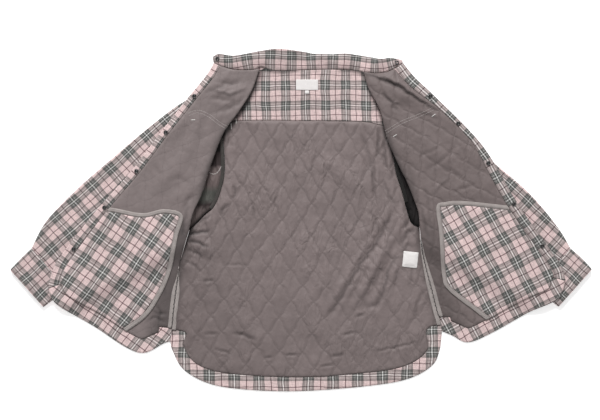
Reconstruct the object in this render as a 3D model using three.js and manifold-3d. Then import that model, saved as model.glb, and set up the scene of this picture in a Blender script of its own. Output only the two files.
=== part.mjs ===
/**
 * Padded shirt jacket, unbuttoned and spread open on its back with the lining up.
 *
 * Units are millimetres, +Z points up from the surface that the jacket lies on, and +Y points to
 * the collar. The wearer's right is on the -X side. Layout coordinates are measured from a point
 * near the middle of the back; the whole garment is centred on its bounding box at the end.
 *
 * Construction: each area of the garment has a bed, a faceted height field that says how high the
 * cloth lies there. A piece of cloth is a slab of that bed, cut along its pattern outline, so
 * pieces that lie on each other keep an even gap and meet at their seams.
 */
import * as THREE from "three";
import { mergeVertices } from "three/addons/utils/BufferGeometryUtils.js";
import Module from "manifold-3d";

// ---- Driving dimensions -------------------------------------------------------------------

// Thicknesses of the cloths, and the gap left at seams and between layers.
const GAP = 0.3;
const SHELL = 1.5;
const STAND = 2.0;
const LEAF = 2.0;
const QUILT = 3.0;
const TAPE = 1.2;
const BOUND_EDGE = 2.1;
const LABEL = 1.0;
const SLEEVE_WALL = 2.5;
const SLEEVE_HEIGHT = 12.0;

// Widths of the strips.
const HEM_FACING_WIDTH = 32;
const BINDING_WIDTH = 10;
const SEAM_TAPE_WIDTH = 8;
// Heights that the underside of the cloth takes where it lies on other pieces.
const OVER_SLEEVE = SLEEVE_HEIGHT + 0.5;
const OVER_NECK = 6.3;
const OVER_LEAF = LEAF + 0.4;

// Distances over which those heights change: behind the neck, out along the stand, out from the
// neck point, beyond the shoulder seam and below the sleeve.
const LEAF_RISE = { from: 262, to: 290 };
const STAND_RISE = { from: 95, to: 150 };
const NECK_RISE = { from: 25, to: 115 };
const SHOULDER_DROP = { from: 0, to: 60 };
const SLEEVE_DROP = { from: 14, to: 58 };

// The rolled edge where a front folds over the back, above the armhole.
const ROLL = { bottom: 6.1, top: 1.0, width: 2.2, points: 7 };

// Facet sizes, and how far helper outlines reach past the cloth's own edges.
const CELL = 28;
const OUTLINE_STEP = 28;
const FLATNESS = 0.05;
const PAST_EDGE = 680;
const PAST_HEM = 8;
const PRISM = { bottom: -30, height: 100 };

const SNAP = { radius: 5.2, hole: 2.2, height: 2.2 };

const COLOURS = {
  check: { color: 0xb9aaa6, roughness: 0.95, metalness: 0 },
  lining: { color: 0x7d7370, roughness: 0.6, metalness: 0 },
  tape: { color: 0x96908a, roughness: 0.8, metalness: 0 },
  label: { color: 0xefefec, roughness: 0.7, metalness: 0 },
  snap: { color: 0x3b3a3c, roughness: 0.35, metalness: 0.9 },
};

/** A table's rows as objects with the named columns. */
function table(columns, rows) {
  const names = columns.split(" ");
  return rows.map((row) => Object.fromEntries(names.map((name, index) => [name, row[index]])));
}

// ---- Outlines: the collar and the back ----------------------------------------------------

const COLLAR_LOWER_EDGE = table("x y", [
  [-196, 358], [-153, 344], [-106, 344], [-90, 351], [-60, 342], [5, 343], [92, 345], [135, 340],
  [171, 336], [200, 341], [229, 357],
]);
const COLLAR_UPPER_EDGE = table("x y", [
  [229, 366], [200, 371], [179, 369], [124, 378], [96, 381], [45, 378], [5, 385], [-50, 392],
  [-90, 387], [-150, 376], [-185, 380], [-200, 372],
]);
const COLLAR_LEAF = table("x y", [
  [-186, 309], [-80, 314], [20, 306], [120, 310], [222, 303], [216, 360], [179, 366], [96, 378],
  [5, 382], [-50, 388], [-150, 373], [-190, 370],
]);

const YOKE_SEAM = table("x y", [
  [-260, 228], [-88, 230], [0, 229], [92, 228], [150, 226], [187, 218], [300, 205],
]);
const BACK_HEM = table("x y", [
  [-295, -269], [-290, -289], [-264, -333], [-204, -365], [-118, -378], [-2, -381], [146, -370],
  [239, -354], [295, -324], [313, -287], [318, -246],
]);
const BACK_FACING_EDGE = table("x y", [
  [-400, -243], [-267, -245], [-265, -279], [-234, -320], [-160, -341], [-2, -349], [126, -341],
  [230, -325], [284, -289], [290, -236], [400, -231],
]);

// ---- Outlines: one table of edges for each side -------------------------------------------

const SIDES = [
  {
    name: "right",
    out: -1,
    neck: { x: -81, y: 348 },
    shoulder: { x: -205, y: 294 },
    underarm: { x: -252, y: -19 },
    armhole: table("x y", [
      [-252, -19], [-218, 15], [-194, 39], [-176, 89], [-172, 129], [-176, 186], [-187, 242],
      [-205, 294],
    ]),
    sideSeam: table("x y", [
      [-252, -19], [-263, -55], [-273, -93], [-280, -141], [-286, -186], [-291, -237],
      [-295, -269],
    ]),
    crease: table("x y", [
      [-252, -19], [-242, 23], [-223, 64], [-203, 127], [-174, 201], [-140, 249], [-110, 298],
      [-94, 345],
    ]),
    frontEdge: table("x y", [
      [-195, 363], [-212, 333], [-253, 282], [-317, 201], [-383, 114], [-455, 33], [-527, -57],
      [-557, -104], [-569, -150],
    ]),
    frontHem: table("x y", [
      [-569, -150], [-548, -186], [-462, -238], [-397, -281], [-354, -295], [-311, -274],
      [-295, -269],
    ]),
    hemTab: table("x y", [[-321, -248], [-320, -235.5], [-260, -241]]),
    pocket: table("x y", [
      [-470, 40], [-417, 32], [-356, 21], [-307, 30], [-266, 17], [-277, -33], [-292, -106],
      [-316, -164], [-350, -214], [-399, -250], [-430, -280],
    ]),
    sleeveEdges: table("xOuter yOuter xInner yInner", [
      [-263, 273, -292, -40],
      [-333, 222, -352, -72],
      [-419, 150, -414, -101],
      [-505, 75, -474, -128],
      [-574, 3, -520, -146],
      [-607, -58, -530, -147],
    ]),
    cuffEdges: table("xOuter yOuter xInner yInner", [
      [-607.4, -58.4, -530.4, -147.4],
      [-632, -82, -553, -170],
      [-652, -103, -576, -188],
      [-655, -107, -580, -191],
    ]),
    sleeveLip: table("x y", [
      [-252, -19], [-247, 23], [-228, 64], [-208, 127], [-194, 163], [-192, 195], [-194, 242],
      [-205, 294],
    ]),
    tapeSpan: { from: 3, to: 9 },
    snaps: table("x y", [
      [-240, 284], [-304, 202], [-370, 115], [-442, 33], [-511, -60],
    ]),
    facing: table("share width", [[0, 16], [0.55, 17], [0.85, 23], [1, 24]]),
    folds: table("x0 y0 x1 y1 width height", [
      [-230, 190, -330, 60, 55, 3.0],
      [-250, 250, -300, 185, 45, 2.5],
      [-330, -20, -365, -150, 60, 3.5],
    ]),
  },
  {
    name: "left",
    out: 1,
    neck: { x: 135, y: 343 },
    shoulder: { x: 248, y: 288 },
    underarm: { x: 267, y: -12 },
    armhole: table("x y", [
      [267, -12], [250, -3], [241, 18], [226, 74], [214, 112], [209, 160], [219, 235], [248, 288],
    ]),
    sideSeam: table("x y", [
      [267, -12], [273, -62], [283, -107], [295, -154], [306, -197], [314, -224], [318, -246],
    ]),
    crease: table("x y", [
      [267, -12], [264, 23], [253, 54], [236, 96], [222, 123], [193, 190], [178, 252], [152, 302],
      [141, 342],
    ]),
    frontEdge: table("x y", [
      [228, 362], [256, 327], [299, 286], [385, 200], [428, 144], [487, 43], [551, -48],
      [584, -96], [595, -132],
    ]),
    frontHem: table("x y", [
      [595, -132], [578, -172], [514, -203], [428, -251], [376, -271], [342, -256], [318, -246],
    ]),
    hemTab: table("x y", [[338, -222], [337, -214], [280, -210]]),
    pocket: table("x y", [
      [500, 34], [463, 38], [366, 48], [325, 46], [304, 36], [310, -24], [318, -121], [333, -154],
      [398, -205], [440, -240], [470, -280],
    ]),
    sleeveEdges: table("xOuter yOuter xInner yInner", [
      [306, 243, 304, -32],
      [362, 195, 362, -62],
      [428, 140, 422, -95],
      [514, 66, 478, -122],
      [578, -10, 520, -142],
      [607, -58, 530, -147],
    ]),
    cuffEdges: table("xOuter yOuter xInner yInner", [
      [607.4, -58.4, 530.4, -147.4],
      [632, -80, 553, -169],
      [652, -101, 576, -187],
      [655, -106, 580, -190],
    ]),
    sleeveLip: table("x y", [
      [267, -12], [267, 23], [257, 56], [241, 98], [227, 125], [215, 165], [222, 235], [248, 288],
    ]),
    tapeSpan: { from: 3, to: 8 },
    snaps: table("x y", [
      [291, 284], [353.5, 222.5], [421, 133], [479, 41], [542.5, -53],
    ]),
    facing: table("share width", [
      [0, 24], [0.12, 21], [0.2, 14.5], [0.26, 13], [0.38, 13], [0.5, 22], [1, 24],
    ]),
    folds: table("x0 y0 x1 y1 width height", [
      [150, 322, 300, 252, 50, 5.0],
      [250, 215, 345, 120, 60, 3.5],
      [335, -30, 395, -150, 60, 3.5],
    ]),
  },
];

// The lengths that a sleeve is made in, by the rows of its edge table that each one spans.
const SLEEVE_LENGTHS = table("piece first last", [
  ["sleeve_upper", 0, 2], ["sleeve_elbow", 2, 3], ["sleeve_lower", 3, 5],
]);

const BACK_FOLDS = table("x0 y0 x1 y1 width height", [
  [165, -40, 70, -200, 56, 5.0],
  [230, -70, 165, -190, 48, 4.0],
  [-235, -40, -185, -80, 48, 3.5],
  [-120, 120, -40, 40, 60, 3.0],
  [60, 150, 150, 60, 60, 3.0],
  [-160, -200, -60, -290, 56, 3.5],
]);

const LABELS = [
  { name: "neck_label", x: 13.5, y: 310, width: 50, depth: 24, turn: 0 },
  { name: "size_tab", x: 13.5, y: 293.5, width: 10, depth: 7.5, turn: 0 },
  { name: "care_label", x: 246.5, y: -84, width: 34, depth: 36, turn: -6 },
];

const COLLAR_SNAPS = [
  { name: "right_collar_snap", x: -188, y: 368 },
  { name: "left_collar_snap", x: 216, y: 360 },
];

// ---- Plane geometry -----------------------------------------------------------------------

/** Points along a smooth curve through a table's rows, about `OUTLINE_STEP` apart. */
function smooth(rows) {
  const curve = spline(rows);
  const steps = Math.ceil(curve.getLength() / OUTLINE_STEP);
  return curve.getSpacedPoints(Math.max(rows.length - 1, steps));
}

/**
 * An open curve moved sideways, positive to the left of its direction, by one `distance` or by one
 * that depends on the share of the curve's length.
 */
function moved(points, distance) {
  return points.map((point, index) => {
    const before = points[Math.max(index - 1, 0)];
    const after = points[Math.min(index + 1, points.length - 1)];
    const along = after.clone().sub(before).normalize();
    const far = typeof distance === "function" ? distance(index / (points.length - 1)) : distance;
    return new THREE.Vector2(point.x - along.y * far, point.y + along.x * far);
  });
}

/** The width at a share of a strip's length, between the rows of its table of widths. */
function widthAt(rows, share) {
  const next = Math.max(1, rows.findIndex((row) => row.share >= share));
  const [from, to] = [rows[next - 1], rows[next]];
  return THREE.MathUtils.mapLinear(share, from.share, to.share, from.width, to.width);
}

/** A closed outline grown by `distance`, or shrunk where it is negative. */
function grown(outline, distance) {
  const sign = THREE.ShapeUtils.isClockWise(outline) ? -1 : 1;
  return outline.map((point, index) => {
    const before = outline[(index + outline.length - 1) % outline.length];
    const after = outline[(index + 1) % outline.length];
    const first = point.clone().sub(before).normalize();
    const second = after.clone().sub(point).normalize();
    const bisector = new THREE.Vector2(first.y + second.y, -first.x - second.x).normalize();
    const spread = Math.max(0.5, bisector.x * first.y - bisector.y * first.x);
    return point.clone().addScaledVector(bisector, (sign * distance) / spread);
  });
}

/** An outline without points that lie closer together than `least`. */
function cleaned(outline, least = 2) {
  return outline.filter((point, index) => {
    const before = outline[(index + outline.length - 1) % outline.length];
    return point.distanceTo(before) > least;
  });
}

/** A rectangle of a label's size, turned about its middle. */
function rectangle({ x, y, width, depth, turn }) {
  const corners = [[-1, -1], [1, -1], [1, 1], [-1, 1]];
  const centre = new THREE.Vector2(x, y);
  return corners.map(([i, j]) => {
    const corner = new THREE.Vector2(x + (i * width) / 2, y + (j * depth) / 2);
    return corner.rotateAround(centre, THREE.MathUtils.degToRad(turn));
  });
}

// ---- Solids -------------------------------------------------------------------------------

const wasm = await Module();
wasm.setup();

/** A closed BufferGeometry as a solid. */
function solidFrom(geometry) {
  geometry.deleteAttribute("normal");
  geometry.deleteAttribute("uv");
  const merged = mergeVertices(geometry, 1e-4);
  const vertProperties = new Float32Array(merged.attributes.position.array);
  const triVerts = new Uint32Array(merged.index.array);
  return new wasm.Manifold(new wasm.Mesh({ numProp: 3, vertProperties, triVerts }));
}

/** A solid as a BufferGeometry. */
function geometryFrom(solid) {
  const mesh = solid.getMesh();
  const geometry = new THREE.BufferGeometry();
  geometry.setAttribute("position", new THREE.BufferAttribute(mesh.vertProperties, 3));
  geometry.setIndex(new THREE.BufferAttribute(mesh.triVerts, 1));
  geometry.computeVertexNormals();
  return geometry;
}

/** A tall upright prism over a closed outline. */
function prism(outline) {
  const geometry = new THREE.ExtrudeGeometry(new THREE.Shape(outline), {
    depth: PRISM.height,
    bevelEnabled: false,
  });
  geometry.translate(0, 0, PRISM.bottom);
  return solidFrom(geometry);
}

/** A closed BufferGeometry of a grid's upper and lower heights, with walls all round. */
function slabGeometry(xs, ys, lower, upper) {
  const layer = xs.length * ys.length;
  const positions = [];
  for (const height of [lower, upper]) {
    for (const y of ys) {
      for (const x of xs) {
        positions.push(x, y, height(x, y));
      }
    }
  }
  const index = [];
  for (let j = 0; j < ys.length - 1; j += 1) {
    for (let i = 0; i < xs.length - 1; i += 1) {
      const a = j * xs.length + i;
      const b = a + 1;
      const c = b + xs.length;
      const d = a + xs.length;
      index.push(a, c, b, a, d, c);
      index.push(a + layer, b + layer, c + layer, a + layer, c + layer, d + layer);
    }
  }
  const rim = [];
  xs.forEach((x, i) => rim.push(i));
  ys.slice(1).forEach((y, j) => rim.push((j + 2) * xs.length - 1));
  xs.slice(1).forEach((x, i) => rim.push(layer - 2 - i));
  ys.slice(1, -1).forEach((y, j) => rim.push((ys.length - 2 - j) * xs.length));
  rim.forEach((a, k) => {
    const b = rim[(k + 1) % rim.length];
    index.push(a, b, b + layer, a, b + layer, a + layer);
  });
  const geometry = new THREE.BufferGeometry();
  geometry.setAttribute("position", new THREE.Float32BufferAttribute(positions, 3));
  geometry.setIndex(index);
  return geometry;
}

/** Evenly spaced values from `low` to at least `high`. */
function ruler(low, high) {
  const count = Math.ceil((high - low) / CELL);
  return Array.from({ length: count + 1 }, (_, index) => low + index * CELL);
}

/**
 * A piece of cloth on a bed.
 * `from` and `to` are its lower and upper face above the bed, `keep` holds the outlines that it
 * lies inside of, and `remove` those of the pieces that it leaves room for.
 */
function cloth(bed, from, to, keep, remove = []) {
  const box = new THREE.Box2().setFromPoints(keep[0]);
  const snap = (value) => Math.floor(value / CELL) * CELL;
  const xs = ruler(snap(box.min.x) - CELL, box.max.x + CELL);
  const ys = ruler(snap(box.min.y) - CELL, box.max.y + CELL);
  const lower = typeof from === "function" ? from : (x, y) => bed(x, y) + from;
  let solid = solidFrom(slabGeometry(xs, ys, lower, (x, y) => bed(x, y) + to));
  for (const outline of keep) {
    solid = solid.intersect(prism(grown(outline, -GAP / 2)));
  }
  for (const outline of remove) {
    solid = solid.subtract(prism(grown(outline, GAP / 2)));
  }
  return solid;
}

// ---- Beds ---------------------------------------------------------------------------------

/** A soft step from 0 to 1 as `value` goes through a range. */
function step(value, { from, to }) {
  return THREE.MathUtils.smoothstep(value, from, to);
}

/** The rise of a table's soft folds at a point. */
function foldRise(folds, x, y) {
  let rise = 0;
  for (const fold of folds) {
    const start = new THREE.Vector2(fold.x0, fold.y0);
    const along = new THREE.Vector2(fold.x1, fold.y1).sub(start);
    const length = along.length();
    along.normalize();
    const offset = new THREE.Vector2(x, y).sub(start);
    const run = offset.dot(along) / length;
    const side = Math.abs(offset.cross(along)) / (fold.width / 2);
    if (run > 0 && run < 1 && side < 1) {
      rise += fold.height * Math.cos((side * Math.PI) / 2) ** 2 * Math.sin(run * Math.PI) ** 0.7;
    }
  }
  return rise;
}

/** Signed distance of a point from the line a-b, positive on the left of its direction. */
function beside(x, y, a, b) {
  const along = new THREE.Vector2(b.x - a.x, b.y - a.y).normalize();
  return along.x * (y - a.y) - along.y * (x - a.x);
}

/** Height of the back's underside: flat, with soft folds, and raised over the collar leaf. */
function backBed(x, y) {
  return OVER_LEAF * step(y, LEAF_RISE) + foldRise(BACK_FOLDS, x, y);
}

/** Height of a front's underside: on the sleeve, down at the neck, and down below the sleeve. */
function frontBed(side) {
  const cuff = side.cuffEdges[side.cuffEdges.length - 1];
  const cuffCorner = { x: cuff.xInner, y: cuff.yInner };
  return (x, y) => {
    const belowSleeve = -side.out * beside(x, y, side.underarm, cuffCorner);
    const aboveShoulder = side.out * beside(x, y, side.neck, side.shoulder);
    const fromNeck = Math.hypot(x - side.neck.x, y - side.neck.y);
    const toFloor = step(belowSleeve, SLEEVE_DROP);
    const toNeck = Math.max(1 - step(fromNeck, NECK_RISE), step(aboveShoulder, SHOULDER_DROP));
    const height = OVER_SLEEVE - (OVER_SLEEVE - OVER_NECK) * toNeck;
    return height * (1 - toFloor) + foldRise(side.folds, x, y);
  };
}

/** Height of the stand's underside: low behind the neck, up on the fronts at both ends. */
function collarBed(x) {
  const reach = Math.abs(x - (SIDES[0].neck.x + SIDES[1].neck.x) / 2);
  return OVER_LEAF + (OVER_NECK - OVER_LEAF) * step(reach, STAND_RISE);
}

// ---- The garment --------------------------------------------------------------------------

const group = new THREE.Group();

/** Adds a solid to the garment as a named mesh, with its flat areas in few triangles. */
function add(name, solid, colour) {
  const geometry = geometryFrom(solid.asOriginal().simplify(FLATNESS));
  const mesh = new THREE.Mesh(geometry, new THREE.MeshStandardMaterial(COLOURS[colour]));
  mesh.name = name;
  group.add(mesh);
}

const collarOutline = cleaned([
  ...smooth(COLLAR_LOWER_EDGE),
  ...smooth(COLLAR_UPPER_EDGE),
]);

/** Collar stand and the leaf turned down behind it. */
function addCollar() {
  add("collar_stand", cloth(collarBed, 0, STAND, [collarOutline]), "check");
  const leaf = cleaned(smooth([...COLLAR_LEAF, COLLAR_LEAF[0]]));
  add("collar_leaf", cloth(() => 0, 0, LEAF, [leaf]), "check");
}

/** The outline of all that lies below the upper edge of the back's hem facing. */
function backHemArea() {
  return [
    ...smooth(BACK_FACING_EDGE),
    new THREE.Vector2(PAST_EDGE, -PAST_EDGE),
    new THREE.Vector2(-PAST_EDGE, -PAST_EDGE),
  ];
}

/** Back shell, inner yoke, quilted lining, hem facing and the labels on them. */
function addBack() {
  const [right, left] = SIDES;
  const outline = cleaned([
    ...smooth(right.sideSeam).reverse(),
    ...moved(armholeEdge(right), GAP * right.out),
    new THREE.Vector2(right.neck.x, right.neck.y),
    new THREE.Vector2(left.neck.x, left.neck.y),
    ...moved(armholeEdge(left), GAP * left.out).reverse(),
    ...smooth(left.sideSeam),
    ...smooth(BACK_HEM).reverse(),
  ]);
  const yoke = [
    ...smooth(YOKE_SEAM),
    new THREE.Vector2(PAST_EDGE, PAST_EDGE),
    new THREE.Vector2(-PAST_EDGE, PAST_EDGE),
  ];
  const hem = backHemArea();
  const over = SHELL + GAP;
  add("back_shell", cloth(backBed, 0, SHELL, [outline], [collarOutline]), "check");
  add("back_yoke_lining",
    cloth(backBed, over, over + SHELL, [outline, yoke], [collarOutline]), "check");
  add("back_lining", cloth(backBed, over, over + QUILT, [outline], [yoke, hem]), "lining");
  add("back_hem_facing", cloth(backBed, over, over + SHELL, [outline, hem]), "check");
  for (const label of LABELS) {
    const base = over + GAP + (label.y > 0 ? SHELL : QUILT);
    add(label.name, cloth(backBed, base, base + LABEL, [rectangle(label)]), "label");
  }
}

/** One front: shell, lining, facings, pocket bag and its binding. */
function addFront(side) {
  const bed = frontBed(side);
  const seam = smooth(side.sideSeam);
  const crease = smooth(side.crease);
  const edge = smooth(side.frontEdge);
  const hem = smooth(side.frontHem);
  const outline = cleaned([
    ...crease.slice().reverse(),
    ...seam,
    ...hem.slice().reverse(),
    ...edge.slice().reverse(),
  ]);
  const facing = [
    ...moved(edge, (share) => -side.out * widthAt(side.facing, share)),
    ...moved(edge, side.out * PAST_HEM).reverse(),
  ];
  const hemInner = moved(hem, side.out * -HEM_FACING_WIDTH).slice(0, -2);
  const hemTab = side.hemTab.map(({ x, y }) => new THREE.Vector2(x, y));
  const hemFacing = [...hemInner, ...hemTab, ...moved(hem, side.out * PAST_HEM).reverse()];
  const pocket = cleaned([
    ...smooth(side.pocket),
    new THREE.Vector2(side.out * PAST_EDGE, -300),
    new THREE.Vector2(side.out * PAST_EDGE, 60),
  ]);
  const bag = grown(pocket, -BINDING_WIDTH);
  const over = SHELL + GAP;
  const onLining = over + QUILT + GAP;
  const name = (piece) => `${side.name}_${piece}`;

  const rollEdge = crease.slice(-ROLL.points);
  const rollBand = [...rollEdge, ...moved(rollEdge, -side.out * ROLL.width).reverse()];
  const roll = cloth(bed, () => ROLL.bottom, ROLL.top, [rollBand, outline], [collarOutline]);
  const shell = cloth(bed, 0, SHELL, [outline], [collarOutline]);
  add(name("front_shell"), shell.add(roll), "check");
  add(name("front_lining"),
    cloth(bed, over, over + QUILT, [outline], [collarOutline, facing, hemFacing]), "lining");
  add(name("front_facing"),
    cloth(bed, over, over + SHELL, [outline, facing], [collarOutline, hemFacing]), "check");
  add(name("front_hem_facing"), cloth(bed, over, over + SHELL, [outline, hemFacing]), "check");
  add(name("pocket_bag"),
    cloth(bed, onLining, onLining + SHELL, [outline, bag], [facing, hemFacing]), "check");
  add(name("pocket_binding"),
    cloth(bed, onLining, onLining + BOUND_EDGE, [outline, pocket], [facing, hemFacing, bag]),
    "tape");
  addSideBindings(side, seam, bed, onLining, hemFacing);
}

/** The two bound seam allowances that lie on both sides of a side seam, down to the facings. */
function addSideBindings(side, seam, bed, base, frontHem) {
  const span = seam.slice(1);
  const pieces = [["front", 1, bed, frontHem], ["back", -1, backBed, backHemArea()]];
  for (const [piece, direction, under, hem] of pieces) {
    const offset = side.out * direction * SEAM_TAPE_WIDTH;
    const strip = [...span, ...moved(span, offset).reverse()];
    const tape = cloth(under, base, base + TAPE, [strip], [hem]);
    add(`${side.name}_side_binding_${piece}`, tape, "tape");
  }
}

/** Height of a bed's facets at a point, between the corners of the slab's grid. */
function facetHeight(bed, x, y) {
  const [x0, y0] = [x, y].map((value) => Math.floor(value / CELL) * CELL);
  const [u, v] = [(x - x0) / CELL, (y - y0) / CELL];
  const near = bed(x0, y0);
  const far = bed(x0 + CELL, y0 + CELL);
  const side = u > v ? bed(x0 + CELL, y0) : bed(x0, y0 + CELL);
  const [most, least] = [Math.max(u, v), Math.min(u, v)];
  return near * (1 - most) + side * (most - least) + far * least;
}

/** Ring snaps along one front's facing, each on the highest facet under its rim. */
function addSnaps(side) {
  const bed = frontBed(side);
  const turns = [0, 1, 2, 3, 4, 5, 6, 7].map((eighth) => (eighth * Math.PI) / 4);
  side.snaps.forEach(({ x, y }, index) => {
    const rim = turns.map((turn) =>
      facetHeight(bed, x + SNAP.radius * Math.cos(turn), y + SNAP.radius * Math.sin(turn)));
    const base = Math.max(...rim) + 2 * (SHELL + GAP);
    add(`${side.name}_snap_${index + 1}`, snapRing(x, y, base), "snap");
  });
}

/** A ring snap with a rounded rim, standing on the height `base`. */
function snapRing(x, y, base) {
  const { radius, hole, height } = SNAP;
  const profile = [
    [hole, 0], [radius, 0], [radius, height * 0.5], [radius * 0.75, height], [hole, height * 0.6],
    [hole, 0],
  ].map(([r, z]) => new THREE.Vector2(r, z));
  const geometry = new THREE.LatheGeometry(profile, 8);
  geometry.rotateX(Math.PI / 2);
  geometry.translate(x, y, base);
  return solidFrom(geometry);
}

/**
 * Where a flattened tube's ring has its points: `share` along the curve across the tube, and
 * `away` from the tube's middle height, for a wall surface `inset` from the outside.
 */
function ringStops(curve, inset) {
  const radius = SLEEVE_HEIGHT / 2;
  const length = curve.getLength();
  const bend = [0, 45, 90].map((angle) => THREE.MathUtils.degToRad(angle)).map((turn) => ({
    share: (radius - (radius - inset) * Math.cos(turn)) / length,
    away: (radius - inset) * Math.sin(turn),
  }));
  const flats = [1, 2, 3, 4, 5, 6, 7].map((eighth) => ({ share: eighth / 8, away: radius - inset }));
  const farBend = bend.map(({ share, away }) => ({ share: 1 - share, away })).reverse();
  return [...bend, ...flats, ...farBend];
}

/** One ring of a flattened tube: `lower` and `upper` are the curves across its two faces. */
function tubeRing(lower, upper, inset) {
  const ring = [];
  for (const [curve, sign] of [[lower, -1], [upper, 1]]) {
    const points = ringStops(curve, inset).map(({ share, away }) => {
      const point = curve.getPointAt(share);
      return new THREE.Vector3(point.x, point.y, SLEEVE_HEIGHT / 2 + sign * away);
    });
    ring.push(...(sign < 0 ? points.slice(0, -1) : points.slice(1).reverse()));
  }
  return ring;
}

/** The armhole edge of the back, from the underarm to the shoulder, as the sleeve's ring has it. */
function armholeEdge(side) {
  const curve = spline(side.armhole);
  return ringStops(curve, 0).map(({ share }) => curve.getPointAt(share));
}

/** A tube wall through pairs of rings, open at both ends. */
function tube(sections, wall) {
  const outer = sections.map(({ lower, upper }) => tubeRing(lower, upper, 0));
  const inner = sections.map(({ lower, upper }) => tubeRing(lower, upper, wall));
  const loop = outer[0].length;
  const rings = [...outer, ...inner.reverse()];
  const positions = rings.flat().flatMap((point) => [point.x, point.y, point.z]);
  const index = [];
  rings.forEach((ring, k) => {
    const next = (k + 1) % rings.length;
    for (let i = 0; i < loop; i += 1) {
      const j = (i + 1) % loop;
      const [a, b, c, d] = [k * loop + i, k * loop + j, next * loop + j, next * loop + i];
      index.push(a, b, c, a, c, d);
    }
  });
  const geometry = new THREE.BufferGeometry();
  geometry.setAttribute("position", new THREE.Float32BufferAttribute(positions, 3));
  geometry.setIndex(index);
  return geometry;
}

/** A geometry turned inside out where its volume is negative. */
function facingOut(geometry) {
  const { position } = geometry.attributes;
  const corner = (k) => new THREE.Vector3().fromBufferAttribute(position, geometry.index.getX(k));
  let volume = 0;
  for (let k = 0; k < geometry.index.count; k += 3) {
    volume += corner(k).dot(corner(k + 1).cross(corner(k + 2)));
  }
  if (volume < 0) {
    const order = Array.from(geometry.index.array);
    geometry.setIndex(order.reverse());
  }
  return geometry;
}

/** A straight curve across a tube, for one row of an edge table. */
function across(row) {
  return new THREE.LineCurve(
    new THREE.Vector2(row.xInner, row.yInner),
    new THREE.Vector2(row.xOuter, row.yOuter),
  );
}

/** A row of an edge table moved outwards by the gap, where one length starts beside another. */
function besideSeam(row, side) {
  const shift = side.out * GAP;
  return { ...row, xOuter: row.xOuter + shift, xInner: row.xInner + shift };
}

/** A smooth curve through a table's rows. */
function spline(rows) {
  return new THREE.SplineCurve(rows.map((row) => new THREE.Vector2(row.x, row.y)));
}

/** One sleeve in its lengths, its cuff and the binding of its armhole seam. */
function addSleeve(side) {
  const mouth = { lower: spline(side.armhole), upper: spline(side.sleeveLip) };
  const straight = (row) => ({ lower: across(row), upper: across(row) });
  for (const { piece, first, last } of SLEEVE_LENGTHS) {
    const [start, ...rest] = side.sleeveEdges.slice(first, last + 1);
    const sections = first === 0 ? [mouth, straight(start)] : [straight(besideSeam(start, side))];
    const length = tube([...sections, ...rest.map(straight)], SLEEVE_WALL);
    add(`${side.name}_${piece}`, solidFrom(facingOut(length)), "check");
  }
  const cuff = tube(side.cuffEdges.map(straight), SLEEVE_WALL);
  add(`${side.name}_cuff`, solidFrom(facingOut(cuff)), "check");

  const span = armholeEdge(side).slice(side.tapeSpan.from, side.tapeSpan.to);
  const near = moved(span, side.out * -GAP);
  const far = moved(span, side.out * -(GAP + SEAM_TAPE_WIDTH));
  const tape = cloth(() => SLEEVE_WALL + GAP, 0, TAPE, [[...near, ...far.reverse()]]);
  add(`${side.name}_armhole_binding`, tape, "tape");
}

addCollar();
addBack();
for (const side of SIDES) {
  addFront(side);
  addSleeve(side);
  addSnaps(side);
}
for (const { name, x, y } of COLLAR_SNAPS) {
  add(name, snapRing(x, y, collarBed(x) + STAND + GAP), "snap");
}

const middle = new THREE.Box3().setFromObject(group).getCenter(new THREE.Vector3());
group.position.set(-middle.x, -middle.y, 0);

export default group;
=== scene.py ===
"""Padded shirt jacket, unbuttoned and spread open with its quilted lining up.

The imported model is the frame. Its plain cloth solids are replaced by fine cloth meshes on the same
beds and outlines, and the finishes are procedural. Layout sizes are in millimetres from a point
near the middle of the back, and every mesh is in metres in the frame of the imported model. Right and
left are the wearer's.
"""

from __future__ import annotations

import logging
import math
from dataclasses import dataclass, field
from enum import Enum
from typing import Callable, Sequence

import bpy
import numpy as np
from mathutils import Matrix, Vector
from mathutils.bvhtree import BVHTree

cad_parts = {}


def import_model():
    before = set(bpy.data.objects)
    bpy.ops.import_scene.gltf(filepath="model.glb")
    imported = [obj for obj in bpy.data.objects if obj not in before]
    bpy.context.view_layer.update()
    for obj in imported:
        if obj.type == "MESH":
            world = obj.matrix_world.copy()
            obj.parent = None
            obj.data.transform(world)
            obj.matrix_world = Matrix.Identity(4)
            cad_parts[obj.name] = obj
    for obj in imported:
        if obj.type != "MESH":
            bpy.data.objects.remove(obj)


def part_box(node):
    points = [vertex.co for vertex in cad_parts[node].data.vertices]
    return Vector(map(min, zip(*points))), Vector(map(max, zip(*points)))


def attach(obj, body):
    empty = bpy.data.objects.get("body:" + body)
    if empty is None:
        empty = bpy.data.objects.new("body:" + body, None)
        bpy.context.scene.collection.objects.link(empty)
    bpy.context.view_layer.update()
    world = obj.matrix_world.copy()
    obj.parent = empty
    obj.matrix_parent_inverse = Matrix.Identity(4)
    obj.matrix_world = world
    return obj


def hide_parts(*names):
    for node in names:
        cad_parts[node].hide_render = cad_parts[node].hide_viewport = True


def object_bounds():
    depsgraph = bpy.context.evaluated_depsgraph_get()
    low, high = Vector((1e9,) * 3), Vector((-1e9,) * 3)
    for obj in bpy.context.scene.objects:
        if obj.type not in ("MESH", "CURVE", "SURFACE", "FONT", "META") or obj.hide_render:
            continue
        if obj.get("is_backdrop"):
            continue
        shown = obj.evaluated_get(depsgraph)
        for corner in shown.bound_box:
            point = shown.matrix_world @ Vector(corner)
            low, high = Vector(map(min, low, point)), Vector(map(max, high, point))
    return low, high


LOG = logging.getLogger("jacket")
MM = 0.001

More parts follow.
